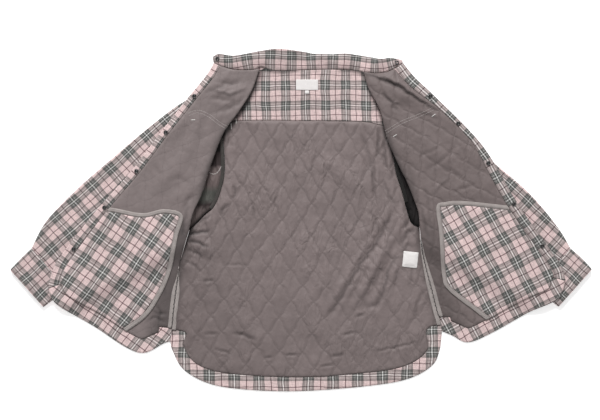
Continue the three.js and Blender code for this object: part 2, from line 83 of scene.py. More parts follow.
# The cloths' thicknesses and widths, and the gap between pieces, in millimetres.
GAP = 0.3
SHELL = 1.5
STAND = 2.0
LEAF = 2.0
QUILT = 3.0
TAPE = 1.2
BOUND_EDGE = 2.1
LABEL = 1.0
SLEEVE_WALL = 2.5
SLEEVE_HEIGHT = 12.0
HEM_FACING_WIDTH = 32.0
BINDING_WIDTH = 10.0
SEAM_TAPE_WIDTH = 8.0
HEM_TAB_START = 54.0

# Heights that cloths lie at.
OVER_SLEEVE = SLEEVE_HEIGHT + 0.5
OVER_NECK = 6.3
OVER_LEAF = LEAF + 0.4
OVER_SHELL = SHELL + GAP
ON_LINING = OVER_SHELL + QUILT + GAP

# How far areas are drawn past the jacket, so that its outline alone cuts them.
PAST_EDGE = 680.0
PAST_HEM = 8.0

# A ring round a sleeve counts its stops in one number: from the inner edge, on the flat, or from
# the outer edge.
ON_FLAT = 1000.0
FROM_OUTER = 5000.0

# The least width that a strip of cloth is stated with, in metres.
LEAST_STRIP = 0.0101

# A cloth's thickness at its rim as a share, its least thickness, where its relief begins, and the
# most painted shade that its Shade map gets.
EDGE_SHARE = 0.3
LEAST_THICKNESS = 0.35
RELIEF_FADE = 9.0
MOST_PAINTED_SHADE = 0.85

# How near an outline a grid point moves onto it, as a share of a cell, the share of triangles
# below which a loose scrap is dropped, and limits of distances.
SNAPPED = 0.38
STRAY_SHARE = 0.02
FAR_AWAY = 1e12
TINY = 1e-12

Points = np.ndarray
Numbers = np.ndarray
Colour = tuple[float, float, float]
Height = Callable[[Numbers, Numbers], Numbers]
Measure = Callable[[Points], Numbers]
Piece = bpy.types.Object
Material = bpy.types.Material
Socket = bpy.types.NodeSocket


class Slot(Enum):
    """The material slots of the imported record."""

    CHECK = "check"
    LINING = "lining"
    TAPE = "tape"
    LABEL = "label"
    SNAP = "snap"


class Form(Enum):
    """Whether a piece of cloth is a plain sheet or padded."""

    SHEET = "sheet"
    PADDED = "padded"


# ---- Lines and outlines ----


def rows(text: str) -> Points:
    """A table of numbers, one row for each comma.

    Args:
        text: the rows' numbers, apart by spaces, and the rows apart by commas.
    Returns:
        The table, a row each.
    """
    return np.array([[float(n) for n in row.split()] for row in text.split(",")])


def creases(text: str) -> tuple[Crease, ...]:
    """Creases from a table.

    Args:
        text: a line each: width, height, lean and painted shade, a colon, and the points' rows.
    Returns:
        The creases.
    """
    made = []
    for entry in text.strip().splitlines():
        sizes, line = entry.split(":")
        made.append(Crease(rows(line), *rows(sizes)[0]))
    return tuple(made)


def between(a: Points, b: Points, c: Points, d: Points, t: Numbers) -> Points:
    """Points at shares t of the way from b to c, on a smooth line that goes on to a and d.

    Args:
        a: the point before b.
        b: where the stretch starts.
        c: where it ends.
        d: the point after c.
        t: the shares, as a column.
    Returns:
        A point for each share.
    """
    pull_b, pull_c = (c - a) / 2, (d - b) / 2
    return (
        b + pull_b * t
        + (3 * (c - b) - 2 * pull_b - pull_c) * t**2
        + (2 * (b - c) + pull_b + pull_c) * t**3
    )


def spline(table: Points, step: float = 5.0) -> Points:
    """A smooth line through a table's points, with even spacing.

    Args:
        table: the points to go through, in millimetres.
        step: the longest space between two points of the line.
    Returns:
        The line's points.
    """
    ends = np.vstack([table[:1], table, table[-1:]])
    t = np.linspace(0, 1, 24, endpoint=False)[:, None]
    spans = [between(*four, t) for four in zip(ends, ends[1:], ends[2:], ends[3:])]
    return respaced(np.vstack([*spans, table[-1:]]), step)


def run_of(line: Points) -> Numbers:
    """The length along a line up to each of its points."""
    return np.concatenate([[0.0], np.cumsum(np.linalg.norm(np.diff(line, axis=0), axis=1))])


def respaced(line: Points, step: float) -> Points:
    """A line's points again, with even spacing of at most a step.

    Args:
        line: its points.
        step: the longest spacing.
    Returns:
        The points, with both ends.
    """
    run = run_of(line)
    count = max(2, math.ceil(run[-1] / step) + 1)
    at = np.linspace(0, run[-1], count)
    return np.stack([np.interp(at, run, line[:, k]) for k in range(line.shape[1])], axis=1)


def moved(line: Points, distance: float | Numbers) -> Points:
    """An open line moved sideways, positive to the left of its direction.

    Args:
        line: its points.
        distance: how far, for all or for each point.
    Returns:
        Its points.
    """
    along = np.gradient(line, axis=0)
    along /= np.linalg.norm(along, axis=1)[:, None]
    return line + np.stack([-along[:, 1], along[:, 0]], axis=1) * np.reshape(distance, (-1, 1))


def signed_distance(points: Points, outline: Points) -> Numbers:
    """How far points lie outside a closed outline, negative inside it.

    Args:
        points: the points to measure.
        outline: the closed outline's corners, in either direction.
    Returns:
        The distance of each point.
    """
    distance = np.full(len(points), FAR_AWAY)
    inside = np.zeros(len(points), bool)
    x, y = points[:, 0], points[:, 1]
    for a, b in zip(outline, np.roll(outline, -1, axis=0)):
        edge = b - a
        length = float(edge @ edge)
        if length < TINY:
            continue
        t = np.clip(((x - a[0]) * edge[0] + (y - a[1]) * edge[1]) / length, 0, 1)
        away = (x - a[0] - t * edge[0]) ** 2 + (y - a[1] - t * edge[1]) ** 2
        distance = np.minimum(distance, away)
        if a[1] != b[1]:
            crosses = (a[1] > y) != (b[1] > y)
            inside ^= crosses & (x < (b[0] - a[0]) * (y - a[1]) / (b[1] - a[1]) + a[0])
    return np.where(inside, -1, 1) * np.sqrt(distance)


def nearest_on(points: Points, line: Points) -> tuple[Numbers, Numbers]:
    """Where points are along an open line, and how far they are to its left.

    Args:
        points: the points to measure.
        line: the open line.
    Returns:
        The run along the line and the signed distance from it, for each point.
    """
    best = np.full(len(points), FAR_AWAY)
    run = np.zeros(len(points))
    side = np.zeros(len(points))
    so_far = 0.0
    for a, b in zip(line, line[1:]):
        edge = b - a
        length = math.hypot(*edge)
        offset = points - a
        t = np.clip(offset @ edge / length**2, 0, 1)
        away = offset - t[:, None] * edge
        distance = np.hypot(away[:, 0], away[:, 1])
        nearer = distance < best
        left = np.sign(edge[0] * offset[:, 1] - edge[1] * offset[:, 0])
        best = np.where(nearer, distance, best)
        run = np.where(nearer, so_far + t * length, run)
        side = np.where(nearer, left * distance, side)
        so_far += length
    return run, side


@dataclass(frozen=True)
class Outline:
    """A closed outline, which may be grown or shrunk by some millimetres."""

    points: Points
    grow: float = 0.0

    def outside(self, points: Points) -> Numbers:
        """How far points lie outside it, negative inside."""
        return signed_distance(points, self.points) - self.grow


def clear_of(area: Outline, inset: float, others: Sequence[Outline], away: float) -> Measure:
    """A measure of how far points lie outside an area that keeps clear of some others.

    Args:
        area: the area's outline.
        inset: how far inside the outline the area ends.
        others: the outlines to keep clear of.
        away: how far to stay away from them.
    Returns:
        The measure, negative inside the area.
    """
    def off(points: Points) -> Numbers:
        """How far points lie outside the area."""
        parts = [away - other.outside(points) for other in others]
        return np.max([area.outside(points) + inset, *parts], axis=0)

    return off


def soft_step(value: Numbers, low: float, high: float) -> Numbers:
    """A soft step from 0 at one value to 1 at another."""
    t = np.clip((value - low) / (high - low), 0, 1)
    return t * t * (3 - 2 * t)


# ---- Relief ----


@dataclass(frozen=True)
class Crease:
    """A soft trough or ridge along a line, in millimetres.

    A fold that leans is a ridge with a steep side to the right of its line. `dark` is the painted
    shade laid in the trough or at the foot of the steep side.
    """

    line: Points
    width: float
    height: float
    lean: float
    dark: float

    def course(self, points: Points) -> tuple[Numbers, Numbers, Numbers]:
        """Which points are near the crease, how far they are from it, and its strength there.

        Args:
            points: places on the layout.
        Returns:
            Whether each point is near, and the side distances and strengths of those that are.
        """
        reach = self.width * 2.2
        low, high = self.line.min(0) - reach, self.line.max(0) + reach
        near = np.all((points > low) & (points < high), axis=1)
        line = spline(self.line, 4.0)
        run, side = nearest_on(points[near], line)
        share = run / run_of(line)[-1]
        taper = np.sin(np.clip(share, 0.001, 0.999) * math.pi) ** 0.55
        return near, side + 0.9 * np.sin(run / 5.3) + 0.6 * np.sin(run / 2.9 + 1), taper

    def rise(self, points: Points) -> Numbers:
        """The rise of the cloth at some points, negative in a trough.

        Args:
            points: places on the layout.
        Returns:
            The rise at each, in millimetres.
        """
        rise = np.zeros(len(points))
        near, side, taper = self.course(points)
        reach = np.abs(side) / (self.width * 0.5)
        reach = np.where(side < 0, reach / self.lean, reach)
        profile = np.exp(-(reach ** 1.3)) if self.height < 0 else np.exp(-(reach ** 2))
        shoulder = np.exp(-(((np.abs(side) - self.width * 0.85) / (self.width * 0.5)) ** 2))
        rise[near] = self.height * taper * (profile - (0.35 * shoulder if self.lean == 1 else 0))
        return rise

    def shade(self, points: Points) -> Numbers:
        """How much painted shade the crease lays at some points.

        Args:
            points: places on the layout.
        Returns:
            The share of painted shade at each.
        """
        shade = np.zeros(len(points))
        if self.dark > 0:
            near, side, taper = self.course(points)
            foot = side + self.width * 0.5 * self.lean if self.height > 0 else side
            spread = min(3.4, self.width * 0.34)
            # Painted shade in the trough or at the foot of the steep side.
            shade[near] = self.dark * taper * np.exp(-((foot / spread) ** 2))
        return shade


def turned_by(turn: float, x: Numbers, y: Numbers) -> tuple[Numbers, Numbers]:
    """Places measured along axes that are turned by some degrees.

    Args:
        turn: the degrees.
        x: places across.
        y: places up.
    Returns:
        The places along the turned axes.
    """
    angle = math.radians(turn)
    cosine, sine = math.cos(angle), math.sin(angle)
    return x * cosine + y * sine, y * cosine - x * sine


@dataclass(frozen=True)
class Ripples:
    """Uneven waves in cloth, from a fixed seed."""

    seed: int
    height: float
    wave: float
    stretch: float = 1.0
    turn: float = 0.0
    count: int = 14

    def rise(self, points: Points) -> Numbers:
        """The rise of the cloth at some points, between about -1 and 1 times the height.

        Args:
            points: places on the layout.
        Returns:
            The rise at each, in millimetres.
        """
        draw = np.random.default_rng(self.seed)
        x, y = turned_by(self.turn, *points.T)
        y = y / self.stretch
        rise = np.zeros(len(points))
        for _ in range(self.count):
            heading = draw.uniform(0, 2 * math.pi)
            wave = self.wave * draw.uniform(0.6, 1.7)
            phase = draw.uniform(0, 2 * math.pi)
            run = x * math.cos(heading) + y * math.sin(heading)
            rise += np.sin(run * 2 * math.pi / wave + phase)
        return self.height * rise / math.sqrt(self.count)


@dataclass(frozen=True)
class SoftWaves:
    """Small uneven waves in cloth: wide ones, and finer ones whose seed is some steps on."""

    seed: int
    height: float
    wave: float
    step: int
    fine_height: float
    fine_wave: float
    fine_stretch: float = 1.0
    fine_turn: float = 0.0

    def rise(self, points: Points) -> Numbers:
        """The rise of the cloth at some points.

        Args:
            points: places on the layout.
        Returns:
            The rise at each, in millimetres.
        """
        wide = Ripples(self.seed, self.height, self.wave)
        fine = Ripples(self.seed + self.step, self.fine_height, self.fine_wave,
                       self.fine_stretch, self.fine_turn)
        return wide.rise(points) + fine.rise(points)


@dataclass(frozen=True)
class Lattice:
    """A quilting of diamonds: two sets of stitched lines that cross."""

    x: float
    y: float
    turn: float
    width: float
    height: float
    spread: float = 0.0
    puff: float = 2.0
    pucker: float = 0.5
    rounding: float = 0.5

    def coordinates(self, points: Points) -> Points:
        """The two numbers of the lattice at some points: a stitched line is where one is whole.

        Args:
            points: places on the layout.
        Returns:
            A pair of numbers for each point.
        """
        across, up = turned_by(self.turn, points[:, 0] - self.x, points[:, 1] - self.y)
        across = across + 2.4 * np.sin(up / 31 + 1) + 1.8 * np.sin(across / 47 + up / 60)
        up = up + 3.5 * np.sin(across / 53 + 0.6) + 2.4 * np.sin(up / 37 + across / 29)
        width = self.width + self.spread * soft_step(-up, 90, 290)
        share, rise = across / width, up / self.height
        rise = rise + self.rounding * np.sin(4 * math.pi * rise) / (4 * math.pi)
        return np.stack([share + rise, share - rise], 1)

    def lines(self, low: Points, high: Points) -> list[Points]:
        """The lattice's stitched lines in a box, found by walking along each whole number.

        Args:
            low: the box's lowest corner.
            high: the box's highest corner.
        Returns:
            A line for each whole number of both sets.
        """
        width, height, fewest = 2.0, 3.0, 4
        xs, ys = np.arange(low[0], high[0], width), np.arange(low[1], high[1], height)
        grid = np.stack([axis.ravel() for axis in np.meshgrid(xs, ys)], axis=1)
        found = []
        for value in self.coordinates(grid).T.reshape(2, len(ys), len(xs)):
            for whole in range(int(value.min()), int(value.max()) + 1):
                above = value > whole
                cross = above[:, 1:] != above[:, :-1]
                hit = np.where(cross.any(axis=1))[0]
                if len(hit) < fewest:
                    continue
                i = cross.argmax(axis=1)[hit]
                here, there = value[hit, i] - whole, value[hit, i + 1] - whole
                found.append(np.stack([xs[i] + width * here / (here - there), ys[hit]], axis=1))
        return found

    def rise(self, points: Points) -> Numbers:
        """The rise of the puffed diamonds, 0 on the stitched lines.

        Args:
            points: places on the layout.
        Returns:
            The rise at each, in millimetres.
        """
        a, b = self.coordinates(points).T
        da, db = np.abs(a - np.round(a)), np.abs(b - np.round(b))
        pillow = (np.sin(math.pi * da) * np.sin(math.pi * db)) ** 0.6
        near = np.exp(-(np.minimum(da, db) * 38 / 9.0))
        along = np.where(da < db, b, a)
        uneven = Ripples(5, 1.0, 95).rise(points)
        pucker = np.sin(along * 2 * math.pi * 4.3 + 2.4 * uneven) * near * pillow**0.3
        middle = (a + b) - np.round(a + b)
        tuck = np.exp(-((middle / 0.07) ** 2)) * pillow**2 * np.clip(0.5 + uneven, 0, 1)
        strong = 0.85 + 0.35 * Ripples(6, 1.0, 60).rise(points)
        puckered = self.pucker * pucker * (0.6 + 0.4 * uneven)
        return self.puff * pillow * strong + puckered - 0.8 * tuck


# ---- Beds ----


@dataclass(frozen=True)
class Fold:
    """A long soft fold in the cloth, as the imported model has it."""

    x0: float
    y0: float
    x1: float
    y1: float
    width: float
    height: float

    def rise(self, x: Numbers, y: Numbers) -> Numbers:
        """The fold's rise at some places.

        Args:
            x: places across the jacket.
            y: places up the jacket.
        Returns:
            The rise at each, in millimetres.
        """
        length = math.hypot(self.x1 - self.x0, self.y1 - self.y0)
        ax, ay = (self.x1 - self.x0) / length, (self.y1 - self.y0) / length
        run = ((x - self.x0) * ax + (y - self.y0) * ay) / length
        side = np.abs((x - self.x0) * ay - (y - self.y0) * ax) / (self.width / 2)
        there = (run > 0) & (run < 1) & (side < 1)
        run, side = np.clip(run, 0, 1), np.clip(side, 0, 1)
        shape = np.cos(side * math.pi / 2) ** 2 * np.sin(run * math.pi) ** 0.7
        return np.where(there, self.height * shape, 0.0)


def folds(text: str) -> tuple[Fold, ...]:
    """Folds from a table of x0 y0 x1 y1 width height."""
    return tuple(Fold(*row) for row in rows(text))


BACK_FOLDS = folds(
    "165 -40 70 -200 56 5.0, 230 -70 165 -190 48 4.0, -235 -40 -185 -80 48 3.5,"
    "-120 120 -40 40 60 3.0, 60 150 150 60 60 3.0, -160 -200 -60 -290 56 3.5"
)


def back_bed(x: Numbers, y: Numbers) -> Numbers:
    """Height of the back's underside."""
    return OVER_LEAF * soft_step(y, 262, 290) + sum(fold.rise(x, y) for fold in BACK_FOLDS)


def collar_bed(x: Numbers, y: Numbers) -> Numbers:
    """Height of the collar stand's underside."""
    return OVER_LEAF + (OVER_NECK - OVER_LEAF) * soft_step(np.abs(x - 27), 95, 150)


def floor_bed(x: Numbers, y: Numbers) -> Numbers:
    """Height of the surface that the jacket lies on."""
    return np.zeros_like(x)


@dataclass(frozen=True)
class Side:
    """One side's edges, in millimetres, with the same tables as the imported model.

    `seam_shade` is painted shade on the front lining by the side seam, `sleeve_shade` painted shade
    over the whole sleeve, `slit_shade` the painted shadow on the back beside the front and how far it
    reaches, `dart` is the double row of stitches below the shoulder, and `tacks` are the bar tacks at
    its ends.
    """

    name: str
    out: int
    neck: tuple[float, float]
    shoulder: tuple[float, float]
    underarm: tuple[float, float]
    armhole: Points
    side_seam: Points
    crease: Points
    front_edge: Points
    front_hem: Points
    hem_tab: Points
    pocket: Points
    sleeve_edges: Points
    cuff_edges: Points
    sleeve_lip: Points
    facing: Points
    folds: tuple[Fold, ...]
    tape_growth: tuple[float, float]
    grain: tuple[float, float]
    facing_start: float
    seam_shade: float
    sleeve_shade: float
    slit_shade: tuple[float, float]
    dart: Points
    tacks: tuple[Points, ...]
    relief: tuple[Crease, ...]
    creases: tuple[Crease, ...]

    def facing_edge(self, inward: float) -> Points:
        """The line along the facing's inner edge, moved in by some millimetres.

        Args:
            inward: the millimetres.
        Returns:
            The line's points.
        """
        edge = spline(self.front_edge)
        width = np.interp(np.linspace(0, 1, len(edge)), self.facing[:, 0], self.facing[:, 1])
        return moved(edge, -self.out * (width + inward))

    def bed(self, x: Numbers, y: Numbers) -> Numbers:
        """Height of the front's underside.

        Args:
            x: places across the jacket.
            y: places up the jacket.
        Returns:
            The height at each place, in millimetres.
        """
        corner = self.cuff_edges[-1, 2:]
        below = -self.out * beside(x, y, self.underarm, corner)
        above = self.out * beside(x, y, self.neck, self.shoulder)
        from_neck = np.hypot(x - self.neck[0], y - self.neck[1])
        to_floor = soft_step(below, 14, 58)
        to_neck = np.maximum(1 - soft_step(from_neck, 25, 115), soft_step(above, 0, 60))
        height = (OVER_SLEEVE - (OVER_SLEEVE - OVER_NECK) * to_neck) * (1 - to_floor)
        points = np.stack([x, y], axis=1)
        drape = sum(crease.rise(points) for crease in self.relief)
        return height + sum(fold.rise(x, y) for fold in self.folds) + drape


def beside(x: Numbers, y: Numbers, a: Sequence[float], b: Sequence[float]) -> Numbers:
    """Signed distance of places from the line a-b, positive on its left.

    Args:
        x: places across.
        y: places up.
        a: a point on the line.
        b: another one.
    Returns:
        The distance of each place.
    """
    length = math.hypot(b[0] - a[0], b[1] - a[1])
    ax, ay = (b[0] - a[0]) / length, (b[1] - a[1]) / length
    return ax * (y - a[1]) - ay * (x - a[0])


RIGHT = Side(
    name="right",
    out=-1,
    neck=(-81, 348),
    shoulder=(-205, 294),
    underarm=(-252, -19),
    armhole=rows("-252 -19,-218 15,-194 39,-176 89,-172 129,-176 186,-187 242,-205 294"),
    side_seam=rows("-252 -19,-263 -55,-273 -93,-280 -141,-286 -186,-291 -237,-295 -269"),
    crease=rows("-252 -19,-242 23,-223 64,-203 127,-174 201,-140 249,-110 298,-94 345"),
    front_edge=rows(
        "-195 363,-212 333,-253 282,-317 201,-383 114,-455 33,-527 -57,-557 -104,-569 -150"
    ),
    front_hem=rows("-569 -150,-548 -186,-462 -238,-397 -281,-354 -295,-311 -274,-295 -269"),
    hem_tab=rows("-321 -248,-320 -235.5,-260 -241"),
    pocket=rows(
        "-470 40,-417 32,-356 21,-307 30,-266 17,-277 -33,-292 -106,-316 -164,-350 -214,"
        "-399 -250,-430 -280"
    ),
    sleeve_edges=rows(
        "-263 273 -292 -40,-333 222 -352 -72,-419 150 -414 -101,-505 75 -474 -128,"
        "-574 3 -520 -146,-607 -58 -530 -147"
    ),
    cuff_edges=rows(
        "-607.4 -58.4 -530.4 -147.4,-632 -82 -553 -170,-652 -103 -576 -188,-655 -107 -580 -191"
    ),
    sleeve_lip=rows("-252 -19,-247 23,-228 64,-208 127,-194 163,-192 195,-194 242,-205 294"),
    facing=rows("0 16,0.55 17,0.85 23,1 24"),
    folds=folds("-230 190 -330 60 55 3.0,-250 250 -300 185 45 2.5,-330 -20 -365 -150 60 3.5"),
    tape_growth=(0.36, 0.56),
    grain=(-0.576, -0.818),
    facing_start=29,
    seam_shade=0.5,
    sleeve_shade=0.05,
    slit_shade=(0.9, 10.0),
    dart=rows("-250 240,-232 246,-208 237,-184 219,-171 212"),
    tacks=(rows("-246 230,-239 230.5"),),
    relief=creases("""
    26 1.6 1 0: -204 262,-238 214,-262 160
    20 1.3 1 0: -168 262,-196 228,-214 196
    24 1.5 1 0: -214 120,-246 76,-300 50
    30 1.3 1 0: -290 150,-318 96,-330 60
    """),
    creases=creases("""
    12 -2.4 1 0.18: -130 318,-160 312,-190 318
    14 3 0.4 0.22: -198 300,-158 290,-124 304
    13 -2.6 1 0.17: -120 286,-146 264,-196 244
    10 -2.2 1 0.18: -216 292,-190 300,-164 314
    11 -2 1 0.15: -146 272,-172 276,-206 280
    16 -1.4 1 0.05: -214 200,-232 176,-236 150
    14 2.4 0.5 0.1: -206 150,-214 110,-236 76
    14 -1.4 1 0.07: -330 132,-318 104,-322 76
    13 -1.4 1 0.06: -300 92,-276 98,-250 88
    10 -2.6 1 0.3: -252 40,-262 8,-268 -30
    9 -2.2 1 0.22: -240 62,-258 44,-262 24
    8 -1.9 1 0.24: -340 -192,-322 -206,-302 -202
    8 -1.9 1 0.24: -352 -226,-330 -214,-308 -224
    7 -1.7 1 0.2: -330 -180,-318 -202,-322 -234
    8 -1.6 1 0.16: -302 -96,-310 -134,-306 -168
    """),
)
LEFT = Side(
    name="left",
    out=1,
    neck=(135, 343),
    shoulder=(248, 288),
    underarm=(267, -12),
    armhole=rows("267 -12,250 -3,241 18,226 74,214 112,209 160,219 235,248 288"),
    side_seam=rows("267 -12,273 -62,283 -107,295 -154,306 -197,314 -224,318 -246"),
    crease=rows("267 -12,264 23,253 54,236 96,222 123,193 190,178 252,152 302,141 342"),
    front_edge=rows("228 362,256 327,299 286,385 200,428 144,487 43,551 -48,584 -96,595 -132"),
    front_hem=rows("595 -132,578 -172,514 -203,428 -251,376 -271,342 -256,318 -246"),
    hem_tab=rows("338 -222,337 -214,280 -210"),
    pocket=rows(
        "500 34,463 38,366 48,325 46,304 36,310 -24,318 -121,333 -154,398 -205,440 -240,470 -280"
    ),
    sleeve_edges=rows(
        "306 243 304 -32,362 195 362 -62,428 140 422 -95,514 66 478 -122,578 -10 520 -142,"
        "607 -58 530 -147"
    ),
    cuff_edges=rows(
        "607.4 -58.4 530.4 -147.4,632 -80 553 -169,652 -101 576 -187,655 -106 580 -190"
    ),
    sleeve_lip=rows("267 -12,267 23,257 56,241 98,227 125,215 165,222 235,248 288"),
    facing=rows("0 24,0.12 21,0.2 14.5,0.26 13,0.38 13,0.5 22,1 24"),
    folds=folds("150 322 300 252 50 5.0,250 215 345 120 60 3.5,335 -30 395 -150 60 3.5"),
    tape_growth=(0.0, 0.62),
    grain=(0.478, -0.878),
    facing_start=62,
    seam_shade=0.3,
    sleeve_shade=0.0,
    slit_shade=(0.7, 5.5),
    dart=rows("193 201,228 222,265 237,297 252"),
    tacks=(rows("207.5 193,214.5 197"), rows("294.5 238,301.5 243")),
    relief=creases("""
    26 1.6 1 0: 236 176,262 128,286 60
    """),
    creases=creases("""
    22 6 0.24 0.66: 140 340,176 328,218 312,250 289,283 268,314 251
    7 -2 1 0.4: 176 322,200 312,226 300
    12 2.4 0.4 0.34: 188 300,193 285,206 272,222 268
    9 -2.2 1 0.35: 218 252,202 262
    12 2 0.5 0.2: 262 252,286 246,312 236
    9 -1.4 1 0.09: 316 168,288 158,262 146
    10 -1.7 1 0.1: 352 176,330 150,300 128,282 118
    8 -1.5 1 0.09: 338 214,352 178,372 148,380 110
    8 -1.7 1 0.12: 372 92,346 112,322 122
    8 -1.6 1 0.1: 396 84,368 78,340 66
    13 -2.2 1 0.16: 232 150,250 96,264 48
    9 -2.4 1 0.25: 262 52,274 16,286 -40
    9 -2 1 0.16: 280 76,288 36,292 -14
    10 1.8 0.5 0.12: 298 66,312 84,334 102
    """),
)
SIDES = (RIGHT, LEFT)

NECK_LABEL = (13.5, 310)

COLLAR_LOWER = rows(
    "-196 358,-153 344,-106 344,-90 351,-60 342,5 343,92 345,135 340,171 336,200 341,229 357"
)
COLLAR_UPPER = rows(
    "229 366,200 371,179 369,124 378,96 381,45 378,5 385,-50 392,-90 387,-150 376,-185 380,-200 372"
)
COLLAR_LEAF = rows(
    "-186 309,-80 314,20 306,120 310,222 303,216 360,179 366,96 378,5 382,-50 388,-150 373,"
    "-190 370,-186 309"
)
YOKE_SEAM = rows("-260 228,-88 230,0 229,92 228,150 226,187 218,300 205")
BACK_HEM = rows(
    "-295 -269,-290 -289,-264 -333,-204 -365,-118 -378,-2 -381,146 -370,239 -354,295 -324,"
    "313 -287,318 -246"
)
BACK_FACING_EDGE = rows(
    "-400 -243,-267 -245,-265 -279,-234 -320,-160 -341,-2 -349,126 -341,230 -325,284 -289,"
    "290 -236,400 -231"
)
COLLAR_OUTLINE = np.vstack([spline(COLLAR_LOWER), spline(COLLAR_UPPER)])
COLLAR_GRAIN = rows("-200 330,-150 330,-90 338,0 335,92 337,170 328,229 340")
ARMHOLE_ARC = rows("-207 111.4,-195.8 108,-186.8 113.6,-180 124.9")
ARMHOLE_TACKS = (rows("-157.5 222,-157 211"), rows("-146.5 233,-146 223"))

BACK_CREASES = creases("""
    14 -7 1 0.44: 210 28,203 14,171 -44,137 -89,99 -152,62 -218
    24 7.4 1 0: 222 -10,204 -38,173 -89,137 -156,112 -196
    14 -6.2 1 0.4: 252 -66,214 -82,198 -106,189 -141,173 -181,146 -195
    9 -3.6 1 0.4: 256 -20,238 -26,226 -60
    8 -3 1 0.34: 254 -58,240 -52,228 -70
    9 -3 1 0.3: 250 20,240 -2,230 -18
    16 2.6 1 0: 238 50,222 -4,210 -40
    7 -2.2 1 0.22: -217 -250,-186 -252
    8 -2.4 1 0.24: -156 -249,-128 -255,-98 -267
    7 -2.2 1 0.22: -196 -284,-155 -298
    7 -2.2 1 0.22: -84 -305,-64 -304
    6 -2.6 1 0.26: -35 -298,-6 -299
    8 -2.6 1 0.26: 66 -302,98 -299
    8 -2.4 1 0.24: 88 -254,132 -248
    8 -2.6 1 0.26: 120 -213,147 -207
    6 -2.8 1 0.16: 170 -291,219 -281,262 -270
    6 -1.8 1 0.18: -168 -95,-120 -96
    7 -2.8 1 0.28: -221 -132,-197 -131
    6 -2.4 1 0.24: 42 -324,77 -322
    8 -3.6 1 0.42: -151 84,-148 66,-156 54
    8 -3.8 1 0.42: -164 40,-178 26,-180 14
    8 -2.8 1 0.28: -113 52,-107 28,-103 4
    8 -3.8 1 0.6: -252 -24,-232 -24,-204 -18
    8 -3.6 1 0.52: -256 -40,-234 -46,-206 -56
    9 -2.8 1 0.34: -257 -60,-238 -68,-218 -82
    8 -3.2 1 0.44: -248 -8,-226 4,-200 18
    8 -2.4 1 0.24: -262 -86,-243 -96,-224 -112
    9 -3.6 1 0.26: 136 200,150 160,160 116
    8 -4 1 0.4: 176 214,175 178,172 144
    9 -3.4 1 0.28: 167 141,163 96,168 48
    8 -3.6 1 0.42: 185 188,190 150,191 118
    8 -3.4 1 0.36: 204 168,208 132,203 92
    8 -3.2 1 0.3: 186 96,196 66,212 40
    9 -2.6 1 0.26: 222 66,232 30,236 -4
    9 -2.4 1 0.24: 150 30,168 4,180 -34
    9 -2.4 1 0.24: 262 -70,250 -110,246 -150
    9 -2.3 1 0.23: 280 -150,262 -186,258 -222
""")


def above_yoke_seam() -> Outline:
    """All that lies above the yoke's seam."""
    corners = [[PAST_EDGE, PAST_EDGE], [-PAST_EDGE, PAST_EDGE]]
    return Outline(np.vstack([spline(YOKE_SEAM), corners]))


def below_hem_edge() -> Outline:
    """All that lies below the edge of the back's hem facing."""
    corners = [[PAST_EDGE, -PAST_EDGE], [-PAST_EDGE, -PAST_EDGE]]
    return Outline(np.vstack([spline(BACK_FACING_EDGE), corners]))


def lines_across(table: Points) -> list[Points]:
    """The lines across a sleeve or cuff, each from its inner to its outer edge."""
    return [np.array([row[2:], row[:2]]) for row in table]


# ---- Meshes ----


def shown(name: str, data: bpy.types.ID) -> Piece:
    """An object made of some data and added to the scene.

    Args:
        name: the object's name.
        data: its mesh, curve, light or camera.
    Returns:
        The object.
    """
    piece = bpy.data.objects.new(name, data)
    bpy.context.scene.collection.objects.link(piece)
    return piece


def drawn(name: str, places: Sequence, edges: Sequence = (), faces: Sequence = ()) -> Piece:
    """A mesh of points with some edges or faces, added to the scene.

    Args:
        name: the object's name.
        places: its points.
        edges: its loose edges.
        faces: its faces.
    Returns:
        The object.
    """
    mesh = bpy.data.meshes.new(name)
    mesh.from_pydata(places, edges, faces)
    return shown(name, mesh)


